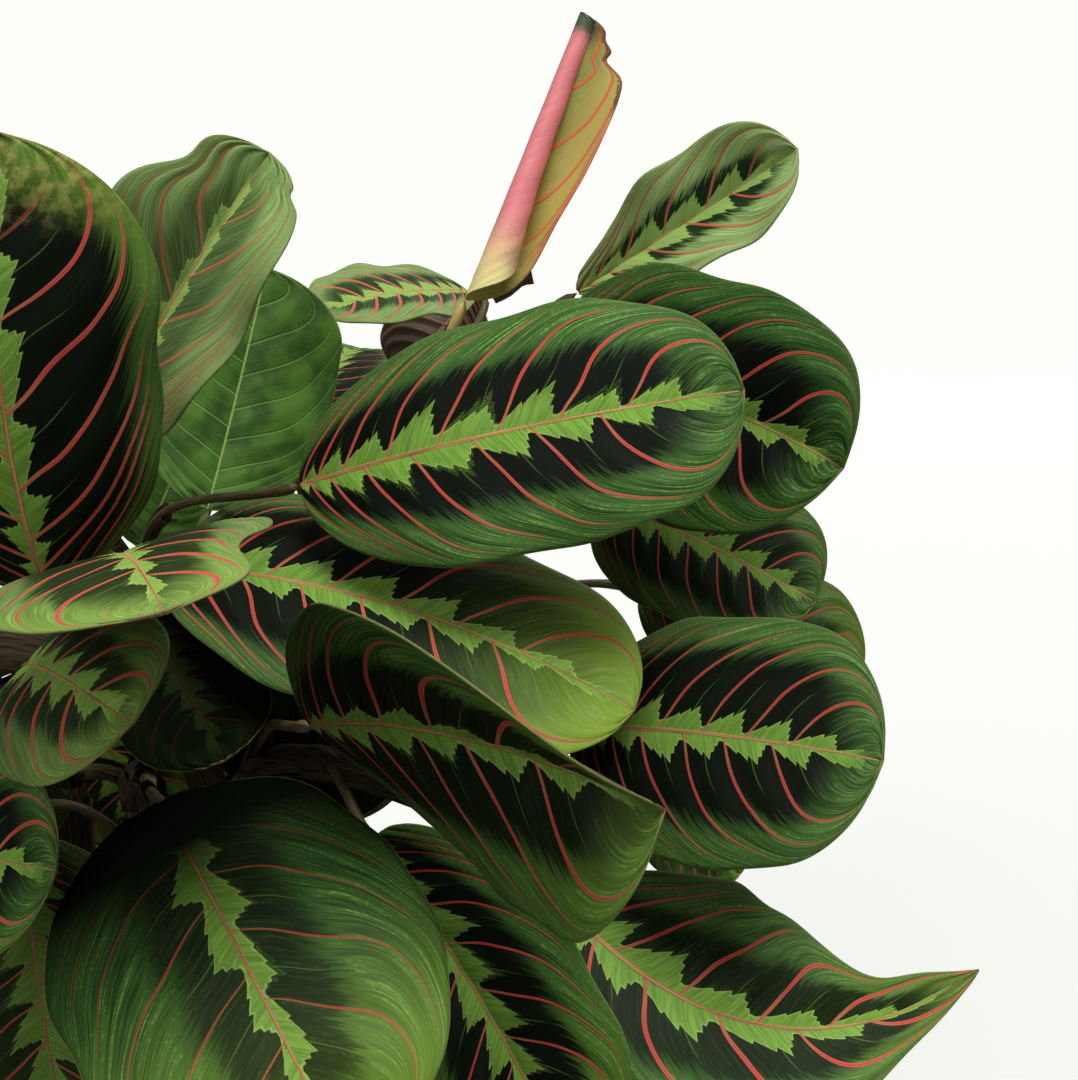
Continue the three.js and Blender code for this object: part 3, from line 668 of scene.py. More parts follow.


# %% [markdown]
# ## What differs from leaf to leaf
# Old leaves have dry tips. Each row gives what is unusual about its leaf: how strong the blotches are and how
# far they spread to the edge, how far the yellow-green band reaches, how bold, red, steep and many the veins
# are, and how pale, yellow or dry it is. Pale is painted light and sheen: it lightens a leaf towards a pale
# grey-green where the leaf catches the light. Yellow is partly the leaf's own yellowing and partly painted
# light on tips that catch the sun. Leaves that lie in shade are darkened with painted shade, from a table of
# their own.

# %% The leaves' own looks
LOOKS = {
    "left_big": dict(dark=1.0, spread=0.26, band=0.5, bold=1.5, red=1.0, yellow=0.5, steep=1.55, veins=0.78),
    "upper_left": dict(dark=0.6, spread=-0.12, pale=0.65, band=0.45, bold=1.3, red=0.75, steep=1.9,
                       veins=0.8),
    "sideways": dict(dark=0.9, pale=0.5, bold=1.7, red=1.0),
    "rolled_new": dict(veins=0.7, steep=1.3),
    "top_right": dict(dark=1.0, spread=-0.12, pale=1.0, band=1.15, bold=1.6, red=0.9, steep=1.3, veins=0.7),
    "right_dark": dict(dark=1.0, spread=0.08, band=0.6, bold=1.15, yellow=0.0),
    "centre_large": dict(dark=1.0, spread=0.0, band=0.8, bold=1.25, red=0.95, yellow=0.0),
    "front_dark": dict(dark=0.95, spread=0.02, band=0.5, bold=1.6, yellow=0.4, veins=0.85),
    "middle": dict(dark=1.0, spread=0.12, band=0.62, bold=1.4, red=1.0, yellow=1.0),
    "facing": dict(dark=0.95, spread=0.05, pale=0.4, band=0.5, bold=1.6, red=1.0, yellow=0.6),
    "facing_low": dict(dark=0.9, spread=-0.02, pale=0.25, band=0.85, bold=1.5, red=0.9, yellow=0.4,
                       veins=0.85),
    "left_low": dict(dark=1.0, spread=0.15, band=0.7, bold=1.4),
    "hanging": dict(dark=0.85, spread=-0.18, band=0.45, bold=0.8, red=0.6, yellow=0.6, steep=1.3, veins=0.8),
    "right_round": dict(dark=1.0, spread=0.12, band=0.65, bold=1.1, red=0.8, yellow=0.0),
    "lower_right": dict(dark=0.9, spread=-0.04, band=0.75, bold=1.45, red=0.95, yellow=0.3, dry=0.03,
                        veins=0.8),
}

# Painted shade: each leaf that lies deep in the plant or under others darkens towards near-black, by one
# share at its foot and one at its tip. in_shade, shade_middle and shade_left sit in the dark gaps between the
# others and are nearly black.
SHADED = {
    "left_big": (0.3, 0.1), "front_dark": (0.4, 0.2), "right_round": (0.3, 0.2), "right_dark": (0.3, 0.2),
    "right_upper": (0.35, 0.25), "right_far": (0.4, 0.3), "right_scrap": (0.3, 0.1), "middle": (0.1, 0.0),
    "facing_low": (0.35, 0.0), "left_low": (0.3, 0.0), "hanging": (1.0, 0.05), "lower_middle": (0.45, 0.1),
    "lower_behind": (0.3, 0.2), "low_left": (0.6, 0.4), "in_shade": (0.96, 0.96),
    "shade_middle": (0.93, 0.93), "shade_left": (0.9, 0.9), "inner_left": (0.6, 0.6),
    "inner_right": (0.6, 0.6),
}


def look_of(name):
    usual = dict(dark=random.uniform(0.8, 1), spread=random.uniform(-0.05, 0.12), pale=random.uniform(0, 0.1),
                 band=random.uniform(0.7, 1), bold=random.uniform(0.9, 1.2), red=random.uniform(0.8, 1),
                 yellow=random.uniform(0, 0.4), dry=0.0, steep=random.uniform(0.95, 1.2), veins=1.0)
    return {**usual, **LOOKS.get(name, {})}


# %% Make one blade from the blank
PLAIN = ("plain", "small_plain")
OUTLINE_STEPS = 200


def blade(name, leaf, blank):
    piece = copy_of(blank, f"blade_{name}")
    flat = places_of(piece)
    even = (flat[:, 1] + 1) / 2
    s = even - 0.09 * np.sin(2 * pi * even)
    t = flat[:, 0]
    points, looks, reach = blade_surface(leaf, s, t)
    half = half_at(leaf, s, t)
    across = np.abs(t)
    length = np.linalg.norm(np.subtract(leaf["tip"], leaf["base"]))
    look = look_of(name)
    count = vein_count(s, across, look["steep"]) * look["veins"]
    gap = vein_gap(s, across, look["steep"], length, half) / look["veins"]
    seed = random.random() * 9
    pillow = 0.3 if "coil" in leaf else 0.6 if name in PLAIN else 1.1
    between = (count + VEIN_SHIFT * (t > 0)) % 1
    quilt = pillow * np.sin(pi * between) ** 2 * across ** 0.5 * (1 - across ** 4)
    slow = [noise.noise(Vector((x / 26, y / 26, seed))) for x, y in zip(reach * np.sign(t), s * length)]
    points = points + looks * (quilt + np.array(slow) * 0.9 * across)[:, None]
    move_to(piece, points * MM)
    shares = np.linspace(0, 1, OUTLINE_STEPS + 1)
    lean = np.interp(s, shares, np.gradient(half_width(leaf, shares), length / OUTLINE_STEPS))
    same = np.ones_like(s)
    shaded = np.interp(s, (0.2, 0.85), SHADED.get(name, (0, 0)))
    store(piece, "blade_place", reach * np.sign(t), s * length, (half - reach) / np.sqrt(1 + lean ** 2))
    store(piece, "blade_vein", count, across, gap)
    store(piece, "blade_look", same * seed, same * look["dark"], same * look["pale"])
    store(piece, "blade_more", same * look["red"], same * look["yellow"], same * look["dry"])
    store(piece, "blade_share", s, same * min(1, 0.4 + leaf["width"] / 110), shaded)
    store(piece, "blade_pattern", same * look["band"], same * look["spread"], same * look["bold"])
    return piece


# %% Give it thickness and its finishes
BLADE_THICKNESS, SKIN_THICKNESS = 0.5, 0.25


def thicken(piece, thickness, upper, under):
    piece.data.materials.clear()
    piece.data.materials.append(upper)
    piece.data.materials.append(under)
    sheet = piece.modifiers.new("thickness", "SOLIDIFY")
    sheet.thickness = thickness * MM
    sheet.offset = 0
    sheet.material_offset = 1
    sheet.material_offset_rim = 0
    bpy.ops.object.modifier_apply(modifier=sheet.name)


def hand_over(piece, node, slot):
    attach(piece, "root")
    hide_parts(node)


def upper_of(name):
    if name in PLAIN:
        return PLAIN_UPPER
    return FLECKED_UPPER if name == "left_big" else UPPER


fine = grid_blank("fine_blank", 48, 84)
coarse = grid_blank("coarse_blank", 32, 56)
triangles = 0
for name, leaf in LEAVES.items():
    if name == "rolled_new":
        continue
    piece = blade(name, leaf, fine if name in SEEN else coarse)
    thicken(piece, BLADE_THICKNESS, upper_of(name), PLAIN_UNDER if name in PLAIN else UNDER)
    hand_over(piece, f"leaf_{name}", "plain_blade" if name in PLAIN else "blade")
    triangles += sum(len(face.vertices) - 2 for face in piece.data.polygons)
print("blades:", len(LEAVES) - 1, "triangles:", triangles)

# %% [markdown]
# ## The newest leaf
# A prayer plant's leaf comes up rolled like a scroll, pink outside, and opens from the edge. It is the same
# blank with a strong roll: the left half winds over by 150 degrees at its foot and by 480 at its tip, and the
# right half is a flap that is just opening.

# %% The rolled leaf's outside and inside
def scroll_outside():
    material, tree, shader = finish_called("scroll_outside", specular=0.4)
    at = blade_places(tree)
    pink = blend(at.streak, (214, 92, 108), (240, 158, 156))
    olive = blend(at.streak, (128, 124, 56), (168, 160, 80))
    body = blend(rising(at.reach + (at.grain - 0.5) * 3, 0.5, 4.0), pink, olive)
    line = falling(at.from_vein, 0.25, 0.6) * rising(at.reach, 0.0, 2.0)
    body = blend(line * 0.9, body, (206, 92, 66))
    low = falling(at.share + (at.grain - 0.5) * 0.12, 0.05, 0.34)
    body = blend(low, body, (226, 214, 142))
    smudge = rising(at.share, 0.12, 0.2) * falling(at.share, 0.24, 0.36) * rising(at.drift, 0.4, 0.6)
    body = blend(smudge * 0.6, body, (112, 108, 76))
    top = rising(at.share + (at.grain - 0.5) * 0.05, 0.91, 0.96)
    body = blend(top, body, (74, 88, 60))
    body = blend(torn_edge(at), body, (120, 82, 44))
    dress(shader, body, 0.38 + at.streak * 0.15, at.streak * 0.12 + line * 0.15, 0.8)
    return material


def scroll_inside():
    material, tree, shader = finish_called("scroll_inside", specular=0.3)
    at = blade_places(tree)
    body = blend(at.streak, (112, 114, 42), (164, 156, 72))
    body = blend(rising(at.reach, 6.0, 18.0) * 0.7, body, (200, 180, 96))
    line = falling(at.from_vein, 0.3, 0.6)
    body = blend(line * 0.9, body, (220, 92, 66))
    tip = rising(at.share + (at.grain - 0.5) * 0.06, 0.88, 0.95) * falling(at.reach, 5.0, 9.0)
    body = blend(tip, body, (44, 56, 28))
    pink = falling(at.margin, 0.4, 3.4) * rising(at.reach, 0.0, 1.0) * falling(at.share, 0.6, 0.8)
    body = blend(pink * 0.85, body, (216, 112, 92))
    # The cream at the foot of the inside is the leaf's own colour, lightened further as painted light so that
    # the open foot of the roll doesn't show dark inside.
    low = falling(at.share + (at.grain - 0.5) * 0.12, 0.05, 0.3)
    body = blend(low, body, (214, 208, 116))
    body = blend(torn_edge(at), body, (116, 76, 40))
    dress(shader, body, 0.4 + at.streak * 0.15, at.streak * 0.12 + line * 0.15, 0.8)
    return material


def torn_edge(at):
    near = falling(at.margin + (at.grain - 0.5) * 3, 0.6, 1.6)
    return near * rising(at.share, 0.68, 0.76) * rising(at.reach, 1.0, 3.0)


SCROLL_OUTSIDE = scroll_outside()
SCROLL_INSIDE = scroll_inside()
tight = dict(LEAVES["rolled_new"], droopLeft=(-150, -480), coil=0.35, foldRight=(0, 84),
             droopRight=(-150, -8), wave=-0.9)
scroll = blade("rolled_new", tight, fine)
thicken(scroll, BLADE_THICKNESS, SCROLL_INSIDE, SCROLL_OUTSIDE)
hand_over(scroll, "leaf_rolled_new", "new_blade")
print("scroll:", len(scroll.data.vertices), "vertices")

# %% [markdown]
# ## Stems and stalks
# Each shoot is a stem from the soil with the stalks of its leaves. A stalk could be a curve with a bevel.
# Here it is a grid wrapped round its line, so that each point knows how far along and round the stalk it is,
# and the finish can run its fine streaks that way. A stalk is a little thicker where it clasps the stem and
# again just under the blade, at the joint that lifts the leaf at night.

# %% Lines for the stems and the stalks
SOIL_TOP = 87


def smooth_line(points, steps=16):
    """A curve through all the points that doesn't overshoot."""
    points = np.array(points, float)
    around = np.vstack([2 * points[0] - points[1], points, 2 * points[-1] - points[-2]])
    line = []
    for k in range(len(points) - 1):
        p0, p1, p2, p3 = around[k:k + 4]
        d0, d1, d2 = (np.linalg.norm(b - a) ** 0.5 for a, b in ((p0, p1), (p1, p2), (p2, p3)))
        leave = ((p1 - p0) / d0 - (p2 - p0) / (d0 + d1) + (p2 - p1) / d1) * d1
        arrive = ((p2 - p1) / d1 - (p3 - p1) / (d1 + d2) + (p3 - p2) / d2) * d1
        u = np.linspace(0, 1, steps, endpoint=False)[:, None]
        line.append(p1 + leave * u + (3 * (p2 - p1) - 2 * leave - arrive) * u ** 2
                    + (2 * (p1 - p2) + leave + arrive) * u ** 3)
    return np.vstack([*line, points[-1:]])


def walk(line, shares):
    """Points at shares of the line's length, and the way it runs there."""
    steps = np.linalg.norm(np.diff(line, axis=0), axis=1)
    far = np.concatenate([[0], np.cumsum(steps)]) / steps.sum()
    points = np.column_stack([np.interp(shares, far, line[:, axis]) for axis in range(3)])
    ways = unit(np.gradient(line, axis=0))
    ways = unit(np.column_stack([np.interp(shares, far, ways[:, axis]) for axis in range(3)]))
    return points, ways, steps.sum()


def stem_line(name):
    (x, y), *path = SHOOTS[name]
    return smooth_line([(x, y, SOIL_TOP + 6), (x, y, SOIL_TOP + 12), *path])


def stalk_line(leaf):
    name, share = leaf["on"]
    start, way, _ = walk(stem_line(name), np.array([share]))
    start, way = start[0], unit(way[0] + np.array([0, 0, 1]))
    end, tangent, _, _ = midrib(leaf, np.array([0.0]))
    end, tangent = end[0] - tangent[0] * 0.3, tangent[0]
    reach = np.linalg.norm(end - start)
    first, last = start + way * reach * 0.4, end - tangent * reach * 0.35
    u = np.linspace(0, 1, 25)[:, None]
    return start * (1 - u) ** 3 + 3 * first * u * (1 - u) ** 2 + 3 * last * u ** 2 * (1 - u) + end * u ** 3


# %% Wrap a grid round a line
def wrap(blank, name, line, radius, start_angle=-pi, sweep=2 * pi, closed=True):
    """radius gives mm at a share of the line; a closed wrap ends in points."""
    piece = copy_of(blank, name)
    flat = places_of(piece)
    share, angle = (flat[:, 1] + 1) / 2, start_angle + sweep * (flat[:, 0] + 1) / 2
    points, ways, length = walk(line, share)
    aside = (0.13, 0.31, 0.94) if abs(ways[0][2]) < 0.9 else (0.0, 1.0, 0.1)
    side = unit(np.cross(ways, aside))
    other = np.cross(side, ways)
    size = radius(share, angle)
    if closed:
        size = np.where((share < 1e-6) | (share > 1 - 1e-6), 0.0, size)
    spread = side * np.cos(angle)[:, None] + other * np.sin(angle)[:, None]
    move_to(piece, (points + spread * size[:, None]) * MM)
    store(piece, "stalk_place", np.cos(angle) * 2, np.sin(angle) * 2, share * length)
    if closed:
        with editing():
            bpy.ops.mesh.remove_doubles(threshold=1e-5)
            bpy.ops.mesh.normals_make_consistent(inside=False)
    return piece


# %% The stalks' finishes
def stalk_finish(name, first, second, blotch):
    material, tree, shader = finish_called(name, specular=0.3)
    x, y, along = stored(tree, "stalk_place")
    streak = mottle(point(x, y, along * 0.08), 1.6, 3.0)
    blot = mottle(placed(tree), 90.0, 3.0)
    body = blend(rising(streak, 0.35, 0.65), first, second)
    body = blend(rising(blot, 0.52, 0.68) * 0.7, body, blotch)
    dress(shader, body, 0.4 + blot * 0.2, streak * 0.25, 0.8)
    return material


def sheath_finish(name, first, second):
    material, tree, shader = finish_called(name, specular=0.2)
    x, y, along = stored(tree, "stalk_place")
    streak = mottle(point(x * 2, y * 2, along * 0.05), 2.2, 3.0)
    body = blend(rising(streak, 0.35, 0.65), first, second)
    dress(shader, body, 0.8, streak * 0.3, 1.0)
    return material


STALK = stalk_finish("green_brown_stalk", (52, 50, 24), (96, 88, 44), (78, 44, 30))
YOUNG_STALK = stalk_finish("young_yellow_stalk", (172, 148, 78), (206, 182, 106), (186, 130, 84))
# Painted shade: the sheaths are darkened from a dry brown to the near-black of the shade inside the plant.
SHEATH = sheath_finish("dry_sheath", (28, 22, 15), (70, 58, 36))
WITHERED_BROWN = sheath_finish("withered_brown", (92, 62, 50), (140, 104, 84))

# %% [markdown]
# A dry, papery sheath clasps the foot of every stalk: the same wrap again, open along one side, torn at its
# top and given a wall of its own.

# %% Stems, stalks and sheaths, joined into shoots
stem_blank = grid_blank("stem_blank", 16, 48)
stalk_blank = grid_blank("stalk_blank", 12, 28)
sheath_blank = grid_blank("sheath_blank", 12, 6)


def stem_radius(share, angle):
    rings = sum(np.exp(-((share - k) / 0.012) ** 2) for k in (0.3, 0.45, 0.6, 0.75, 0.9))
    return 2.6 - 0.7 * share + 0.35 * rings


def stalk_radius(share, angle):
    clasp = 0.8 * np.exp(-(share / 0.12) ** 2)
    joint = 0.35 * np.exp(-((share - 0.93) / 0.05) ** 2)
    return 1.3 + clasp + joint - 0.25 * rising_share(share, 0.96, 1.0)


def rising_share(value, low, high):
    return np.clip((value - low) / (high - low), 0, 1)


def join(pieces, name):
    deselect()
    for piece in pieces:
        piece.select_set(True)
    bpy.context.view_layer.objects.active = pieces[0]
    bpy.ops.object.join()
    pieces[0].name = pieces[0].data.name = name
    return pieces[0]


DRIED = {
    "low_right": ((0.12, 0.35), (0.42, 0.6), (0.56, 0.8)),
    "trailing": ((0.2, 0.42), (0.5, 0.68), (0.7, 0.86)),
    "front": ((0.12, 0.4), (0.45, 0.62)),
    "right": ((0.4, 0.56),),
    "left": ((0.4, 0.6),),
    "back": ((0.45, 0.65),),
}
# The bit on low_right is partly a dried sheath and partly a dark sheet that closes a gap where there is only
# shade: painted shade.
WITHERED = {
    "low_right": [(4.5, (31, -55, 163), (34, -59, 153), (38, -60, 144), (43, -60, 134))],
    "front": [(6.5, (5, -84, 187), (-6, -82, 189), (-16, -78, 185), (-24, -74, 175)),
              (5, (0, -76, 178), (-10, -77, 176), (-18, -75, 168), (-22, -72, 156)),
              (4.5, (-9, -36, 104), (-9, -40, 120), (-6, -46, 134), (-4, -50, 146))],
    "tall_right": [(2.3, (112, 5, 278), (116, 5, 280), (120, 5, 283), (124, 5, 284))],
}

for name in SHOOTS:
    (x, y), *_ = SHOOTS[name]
    line = stem_line(name)
    foot = np.array([[x, y, SOIL_TOP - 30.0], [x, y, SOIL_TOP]])
    stem = wrap(stem_blank, "stem", np.vstack([foot, line]), stem_radius)
    stem.data.materials.append(STALK)
    parts = [stem]
    for leaf in (leaf for leaf in LEAVES.values() if leaf["on"][0] == name):
        young = leaf is LEAVES["rolled_new"]
        stalk = wrap(stalk_blank, "stalk", stalk_line(leaf), stalk_radius)
        stalk.data.materials.append(YOUNG_STALK if young else STALK)
        turn, torn = random.uniform(0, 2 * pi), random.uniform(1, 3)
        line = stalk_line(leaf)[:random.randint(6, 11)]
        sheath = wrap(sheath_blank, "sheath", line,
                      lambda share, angle: 2.8 - 0.3 * share + 0.8 * share ** 3 * np.sin(angle * torn),
                      turn, radians(235), closed=False)
        thicken(sheath, SKIN_THICKNESS, SHEATH, SHEATH)
        parts += [stalk, sheath]
    remains = [(random.uniform(3.8, 4.8), walk(stem_line(name), np.linspace(low, high, 9))[0])
               for low, high in DRIED.get(name, ())]
    remains += [(wide, smooth_line(points, 4)) for wide, *points in WITHERED.get(name, ())]
    for wide, piece_of_stem in remains:
        turn = random.uniform(0, 2 * pi)
        loose = wrap(sheath_blank, "dried_sheath", piece_of_stem,
                     lambda share, angle: wide * (1 + 0.22 * share * np.sin(angle * 2)
                                                  + 0.17 * np.sin(angle * 5 + share * 3)),
                     turn, radians(320), closed=False)
        # Painted shade: all but the brown bits on tall_right take the darkened sheath finish.
        dry = WITHERED_BROWN if name == "tall_right" else SHEATH
        thicken(loose, SKIN_THICKNESS, dry, dry)
        parts.append(loose)
    shoot = join(parts, f"stems_{name}")
    hand_over(shoot, f"shoot_{name}", "stalk")
print("shoots:", len(SHOOTS))

# %% [markdown]
# ## The pot
# A plain clay pot is turned: a thick collar, a tapering wall and four drain holes. The quickest way to a
# turned shape is its half profile, spun about the axis. Its corners are rounded in the profile, where a
# potter's sponge rounds them.

# %% Spin the pot's profile
RIM, COLLAR = 100, 74
WALL_SLOPE = 18 / COLLAR
PROFILE = [(0, 0.6), (48, 0.6), (51.5, 0), (53, 0.5), (53.6, 2), (71, COLLAR), (73.2, COLLAR),
           (74.4, COLLAR + 0.5), (75, COLLAR + 1.8), (75.1, RIM - 13), (75, RIM - 2), (74.5, RIM - 0.6),
           (73, RIM), (69, RIM), (67.7, RIM - 0.5), (67.2, RIM - 1.6), (65, COLLAR),
           (47 + WALL_SLOPE * 9, 9.5), (46, 8), (0, 8)]


def spun(name, profile, steps):
    deselect()
    bpy.ops.mesh.primitive_plane_add(size=0.001)
    piece = bpy.context.object
    piece.name = piece.data.name = name
    with editing():
        bpy.ops.mesh.delete(type="VERT")
    line = [(r * MM, 0, z * MM) for r, z in profile]
    piece.data.from_pydata(line, [(k, k + 1) for k in range(len(line) - 1)], [])
    with editing():
        bpy.ops.mesh.spin(steps=steps, angle=2 * pi, center=(0, 0, 0), axis=(0, 0, 1))
        bpy.ops.mesh.select_all(action="SELECT")
        bpy.ops.mesh.remove_doubles(threshold=1e-6)
        bpy.ops.mesh.normals_make_consistent(inside=False)
    return piece


pot = spun("clay_pot", PROFILE, 96)
print("pot:", len(pot.data.polygons), "faces")


# %% Cut the drain holes and smooth the wall
def drain_holes(pot):
    for k in range(4):
        angle = 2 * pi * (k + 0.5) / 4
        deselect()
        bpy.ops.mesh.primitive_cylinder_add(vertices=24, radius=5 * MM, depth=30 * MM,
                                            location=(30 * MM * cos(angle), 30 * MM * sin(angle), 4 * MM))
        drill = bpy.context.object
        bpy.ops.object.transform_apply(location=True, rotation=False, scale=False)
        bpy.context.view_layer.objects.active = pot
        cut = pot.modifiers.new("drain", "BOOLEAN")
        cut.operation, cut.object, cut.solver = "DIFFERENCE", drill, "EXACT"
        bpy.ops.object.modifier_apply(modifier=cut.name)
        bpy.data.objects.remove(drill)


drain_holes(pot)
deselect()
pot.select_set(True)
bpy.ops.object.shade_smooth_by_angle(angle=radians(32))

# %% [markdown]
# Unglazed clay is never one colour: it has a warm and a cool side from the kiln, pale bloom where water has
# dried out of the wall, and fine rings from turning.

# %% The clay's finish
def clay_finish():
    material, tree, shader = finish_called("unglazed_clay", specular=0.25)
    where = placed(tree)
    height = parts_of(where)[2]
    broad, fine_grain = mottle(where, 14.0, 4.0), mottle(where, 420.0, 3.0, 0.7)
    body = blend(rising(broad, 0.35, 0.65), (168, 94, 62), (194, 122, 86))
    body = blend(fine_grain * 0.35, body, (146, 80, 56))
    bloom = rising(broad + (fine_grain - 0.5) * 0.3, 0.52, 0.68)
    body = blend(bloom * falling(height, 0.004, 0.06) * 0.6, body, (222, 204, 184))
    body = blend(bloom * rising(height, 0.066, 0.074) * 0.45, body, (216, 190, 164))
    rings = (height * 4200).math("SINE")
    dress(shader, body, 0.8 + fine_grain * 0.15, rings * 0.02 + fine_grain * 0.18 + broad * 0.4, 0.8)
    return material


pot.data.materials.append(clay_finish())
hand_over(pot, "pot", "clay")

# %% [markdown]
# ## The soil
# Potting soil is peat with bark chips and white perlite. Its body is a disc that is drawn up inside the pot,
# inset ring by ring and made uneven. The loose bits are modelled once each and strewn over it.

# %% The body of the soil
def soil_height(x, y):
    """Height in mm at a place on top of the soil."""
    mound = 4 * max(0.0, 1 - (hypot(x, y) / 66) ** 2)
    rough = noise.fractal(Vector((x / 9, y / 9, 3.0)), 0.7, 2.0, 4)
    return SOIL_TOP - 1.0 + mound + 1.6 * rough


BODY_RINGS = ((47, 8.4), (64.2, COLLAR), (65.4, SOIL_TOP - 1.5))
TOP_RINGS, RING_WIDTH = 26, 2.45


def soil_body():
    (foot, bottom), *_, (edge, top) = BODY_RINGS
    deselect()
    bpy.ops.mesh.primitive_circle_add(vertices=96, radius=foot * MM, fill_type="NGON",
                                      location=(0, 0, bottom * MM))
    body = bpy.context.object
    bpy.ops.object.transform_apply(location=True, rotation=False, scale=False)
    with editing():
        for (start, low), (radius, z) in zip(BODY_RINGS, BODY_RINGS[1:]):
            bpy.ops.mesh.extrude_region_move(TRANSFORM_OT_translate={"value": (0, 0, (z - low) * MM)})
            bpy.ops.transform.resize(value=(radius / start, radius / start, 1))
        for _ in range(TOP_RINGS):
            bpy.ops.mesh.inset(thickness=RING_WIDTH * MM, depth=0)
        bpy.ops.mesh.poke()
        bpy.ops.mesh.select_all(action="SELECT")
        bpy.ops.mesh.normals_make_consistent(inside=False)
        bpy.ops.mesh.faces_shade_smooth()
    points = places_of(body)
    for spot in points:
        x, y, z = spot / MM
        if z > top - 1 and hypot(x, y) < edge - 1:
            spot[2] = soil_height(x, y) * MM
    move_to(body, points)
    return body


soil = soil_body()
print("soil body:", len(soil.data.polygons), "faces")


# %% Loose bits on it
STREWN_REACH = 63


def strewn(name, count, size, squash, material):
    deselect()
    bpy.ops.mesh.primitive_ico_sphere_add(subdivisions=2 if name == "perlite" else 1, radius=1)
    lump = bpy.context.object
    base = places_of(lump).copy()
    bits = []
    for k in range(count):
        far, angle = STREWN_REACH * sqrt(random.random()), random.uniform(0, 2 * pi)
        x, y = far * cos(angle), far * sin(angle)
        bit = copy_of(lump, name)
        wide = random.uniform(*size)
        jitter = np.array([random.uniform(0.7, 1.3) for _ in range(len(base))])[:, None]
        facing = Vector((random.gauss(0, 1), random.gauss(0, 1), random.gauss(0, 1) * 3 + 0.1))
        turn = np.array(facing.to_track_quat("Z", "X").to_matrix())
        shaped = (base * jitter * (wide, wide * random.uniform(0.5, 0.9), wide * squash)) @ turn.T
        move_to(bit, (shaped + (x, y, soil_height(x, y) + wide * squash * 0.4)) * MM)
        bit.data.materials.append(material)
        bits.append(bit)
    bpy.data.objects.remove(lump)
    return join(bits, name)


def earthy(name, first, second, scale):
    material, tree, shader = finish_called(name, specular=0.15)
    patch, crumb = mottle(placed(tree), scale, 4.0, 0.65), mottle(placed(tree), scale * 5, 4.0, 0.7)
    body = blend(rising(patch, 0.35, 0.65), first, second)
    dress(shader, blend(crumb * 0.4, body, (20, 14, 10)), 0.95, crumb * 0.8, 1.0)
    return material


soil.data.materials.append(earthy("peat", (38, 26, 18), (66, 48, 34), 300.0))
LOOSE = {
    "bark": (220, (1.2, 3.4), 0.4, "bark_chips", (92, 62, 40), (58, 38, 26), 500.0),
    "crumbs": (260, (0.7, 1.8), 0.8, "peat_crumbs", (44, 31, 22), (30, 21, 15), 700.0),
    "perlite": (70, (0.7, 1.5), 0.9, "perlite_grains", (226, 222, 210), (196, 190, 176), 400.0),
}
strewn_bits = [strewn(name, count, size, squash, earthy(*finish))
               for name, (count, size, squash, *finish) in LOOSE.items()]
soil = join([soil, *strewn_bits], "potting_soil")
hand_over(soil, "soil", "soil")
print("soil:", len(soil.data.polygons), "faces")
for blank in (fine, coarse, stem_blank, stalk_blank, sheath_blank):
    bpy.data.objects.remove(blank)

# %% [markdown]
# ## Floor, light and camera
# The plant stands on a pale floor in soft light from the upper left front. The camera looks from the front,
# slightly from above, and sees the upper right part of the plant.

# %% The floor
deselect()
bpy.ops.mesh.primitive_circle_add(vertices=96, radius=6, fill_type="NGON", location=(0, 0, 0))
floor = bpy.context.object
floor.name = "studio_floor"


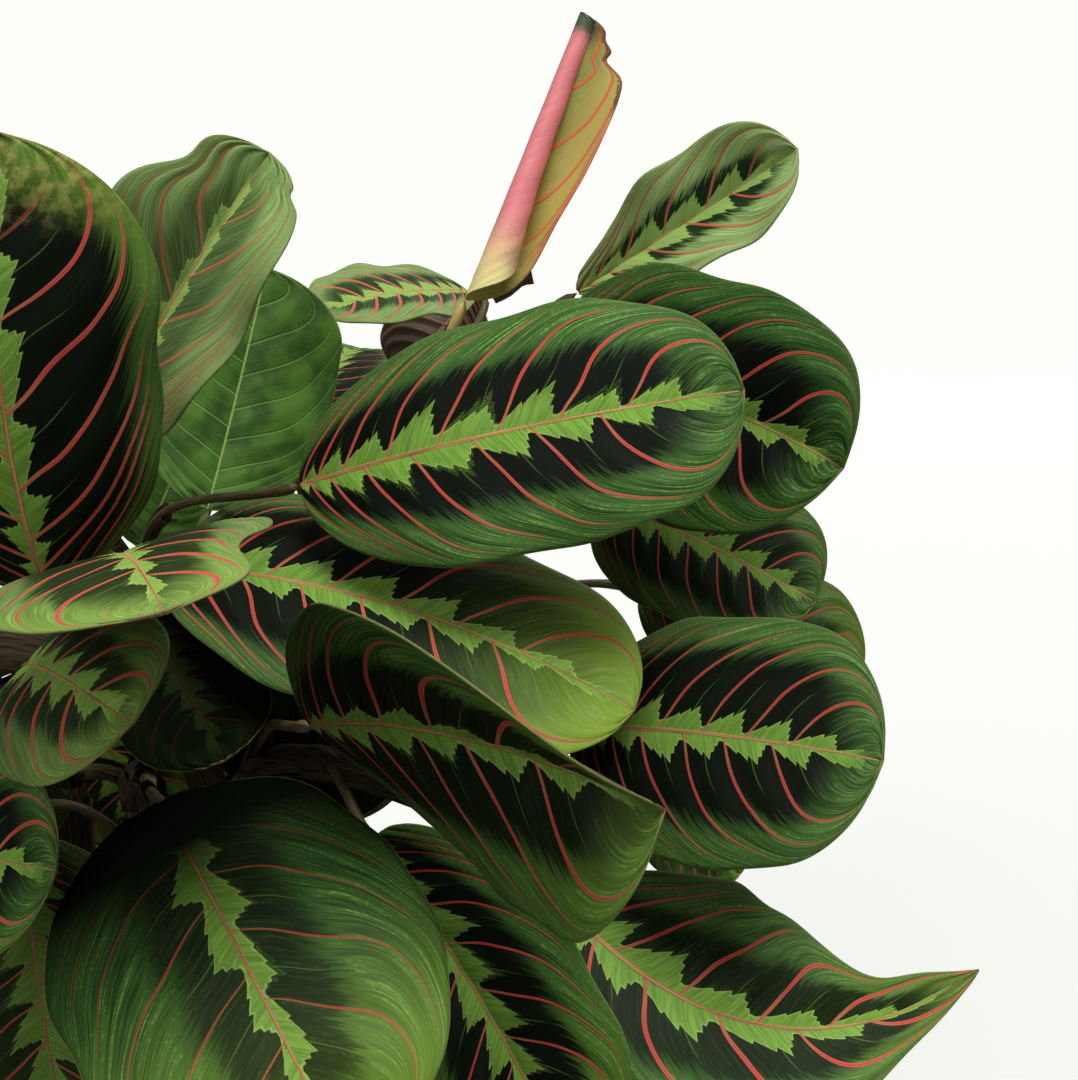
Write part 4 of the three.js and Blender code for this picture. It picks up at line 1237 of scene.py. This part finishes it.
def pale_floor():
    """A real floor with its shadow near the plant; far away it brightens into the white of the studio. It
    looks pale but throws little light back up, or the undersides of the leaves would glow."""
    material, tree, shader = finish_called("pale_floor", specular=0.1)
    seen = Wire(tree, tree.nodes.new("ShaderNodeLightPath").outputs["Is Camera Ray"])
    plug(blend(seen, (120, 120, 118), (216, 218, 213)), shader.inputs["Base Color"])
    plug(0.9, shader.inputs["Roughness"])
    plug((254, 255, 250), shader.inputs["Emission Color"])
    length = tree.nodes.new("ShaderNodeVectorMath")
    length.operation = "LENGTH"
    plug(placed(tree), length.inputs[0])
    far = Wire(tree, length.outputs["Value"])
    plug(rising(far, 0.5, 4.5) * seen * 0.05, shader.inputs["Emission Strength"])
    return material


floor.data.materials.append(pale_floor())
floor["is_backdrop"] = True


# %% Soft light
def skylight(name, place, softness, strength):
    """A sun lights the whole floor evenly, and a wide one is as soft as a large window."""
    light = bpy.data.lights.new(name, "SUN")
    light.angle, light.energy = radians(softness), strength
    lamp = bpy.data.objects.new(name, light)
    lamp.rotation_euler = Vector(place).to_track_quat("Z", "Y").to_euler()
    bpy.context.collection.objects.link(lamp)


skylight("skylight", (0.25, -0.45, 1.0), 28, 3.0)
skylight("front_light", (-0.7, -1.0, 0.55), 40, 1.0)
skylight("back_light", (0.6, 1.0, 0.8), 40, 0.8)


def studio_white():
    """White to look at, but as a light dim at the sides and brighter above, so that leaves keep their
    shadows."""
    world = bpy.data.worlds.new("studio_white")
    bpy.context.scene.world = world
    world.use_nodes = True
    tree = world.node_tree
    seen, lit = (tree.nodes.new("ShaderNodeBackground") for _ in range(2))
    path, either = (tree.nodes.new(kind) for kind in ("ShaderNodeLightPath", "ShaderNodeMixShader"))
    plug((254, 255, 250), seen.inputs["Color"])
    direction = Wire(tree, tree.nodes.new("ShaderNodeTexCoord").outputs["Generated"])
    plug(0.04 + rising(parts_of(direction)[2], -0.1, 1.0) * 0.5, lit.inputs["Strength"])
    for output, socket in zip((path.outputs["Is Camera Ray"], lit.outputs[0], seen.outputs[0]),
                              either.inputs):
        tree.links.new(output, socket)
    tree.links.new(either.outputs[0], tree.nodes["World Output"].inputs["Surface"])


studio_white()
bpy.context.scene.view_settings.view_transform = "Standard"

# %% The camera
lens = bpy.data.cameras.new("camera")
lens.lens, lens.sensor_width = 58, 36
camera = bpy.data.objects.new("camera", lens)
camera.location = (0.126, -0.5155, 0.278)
camera.rotation_euler = (radians(82), 0, 0)
bpy.context.collection.objects.link(camera)
bpy.context.scene.camera = camera

# %% Compare the sizes and finish
dressed_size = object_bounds()
print("solids", [round(v, 4) for corner in solid_size for v in corner])
print("dressed", [round(v, 4) for corner in dressed_size for v in corner])
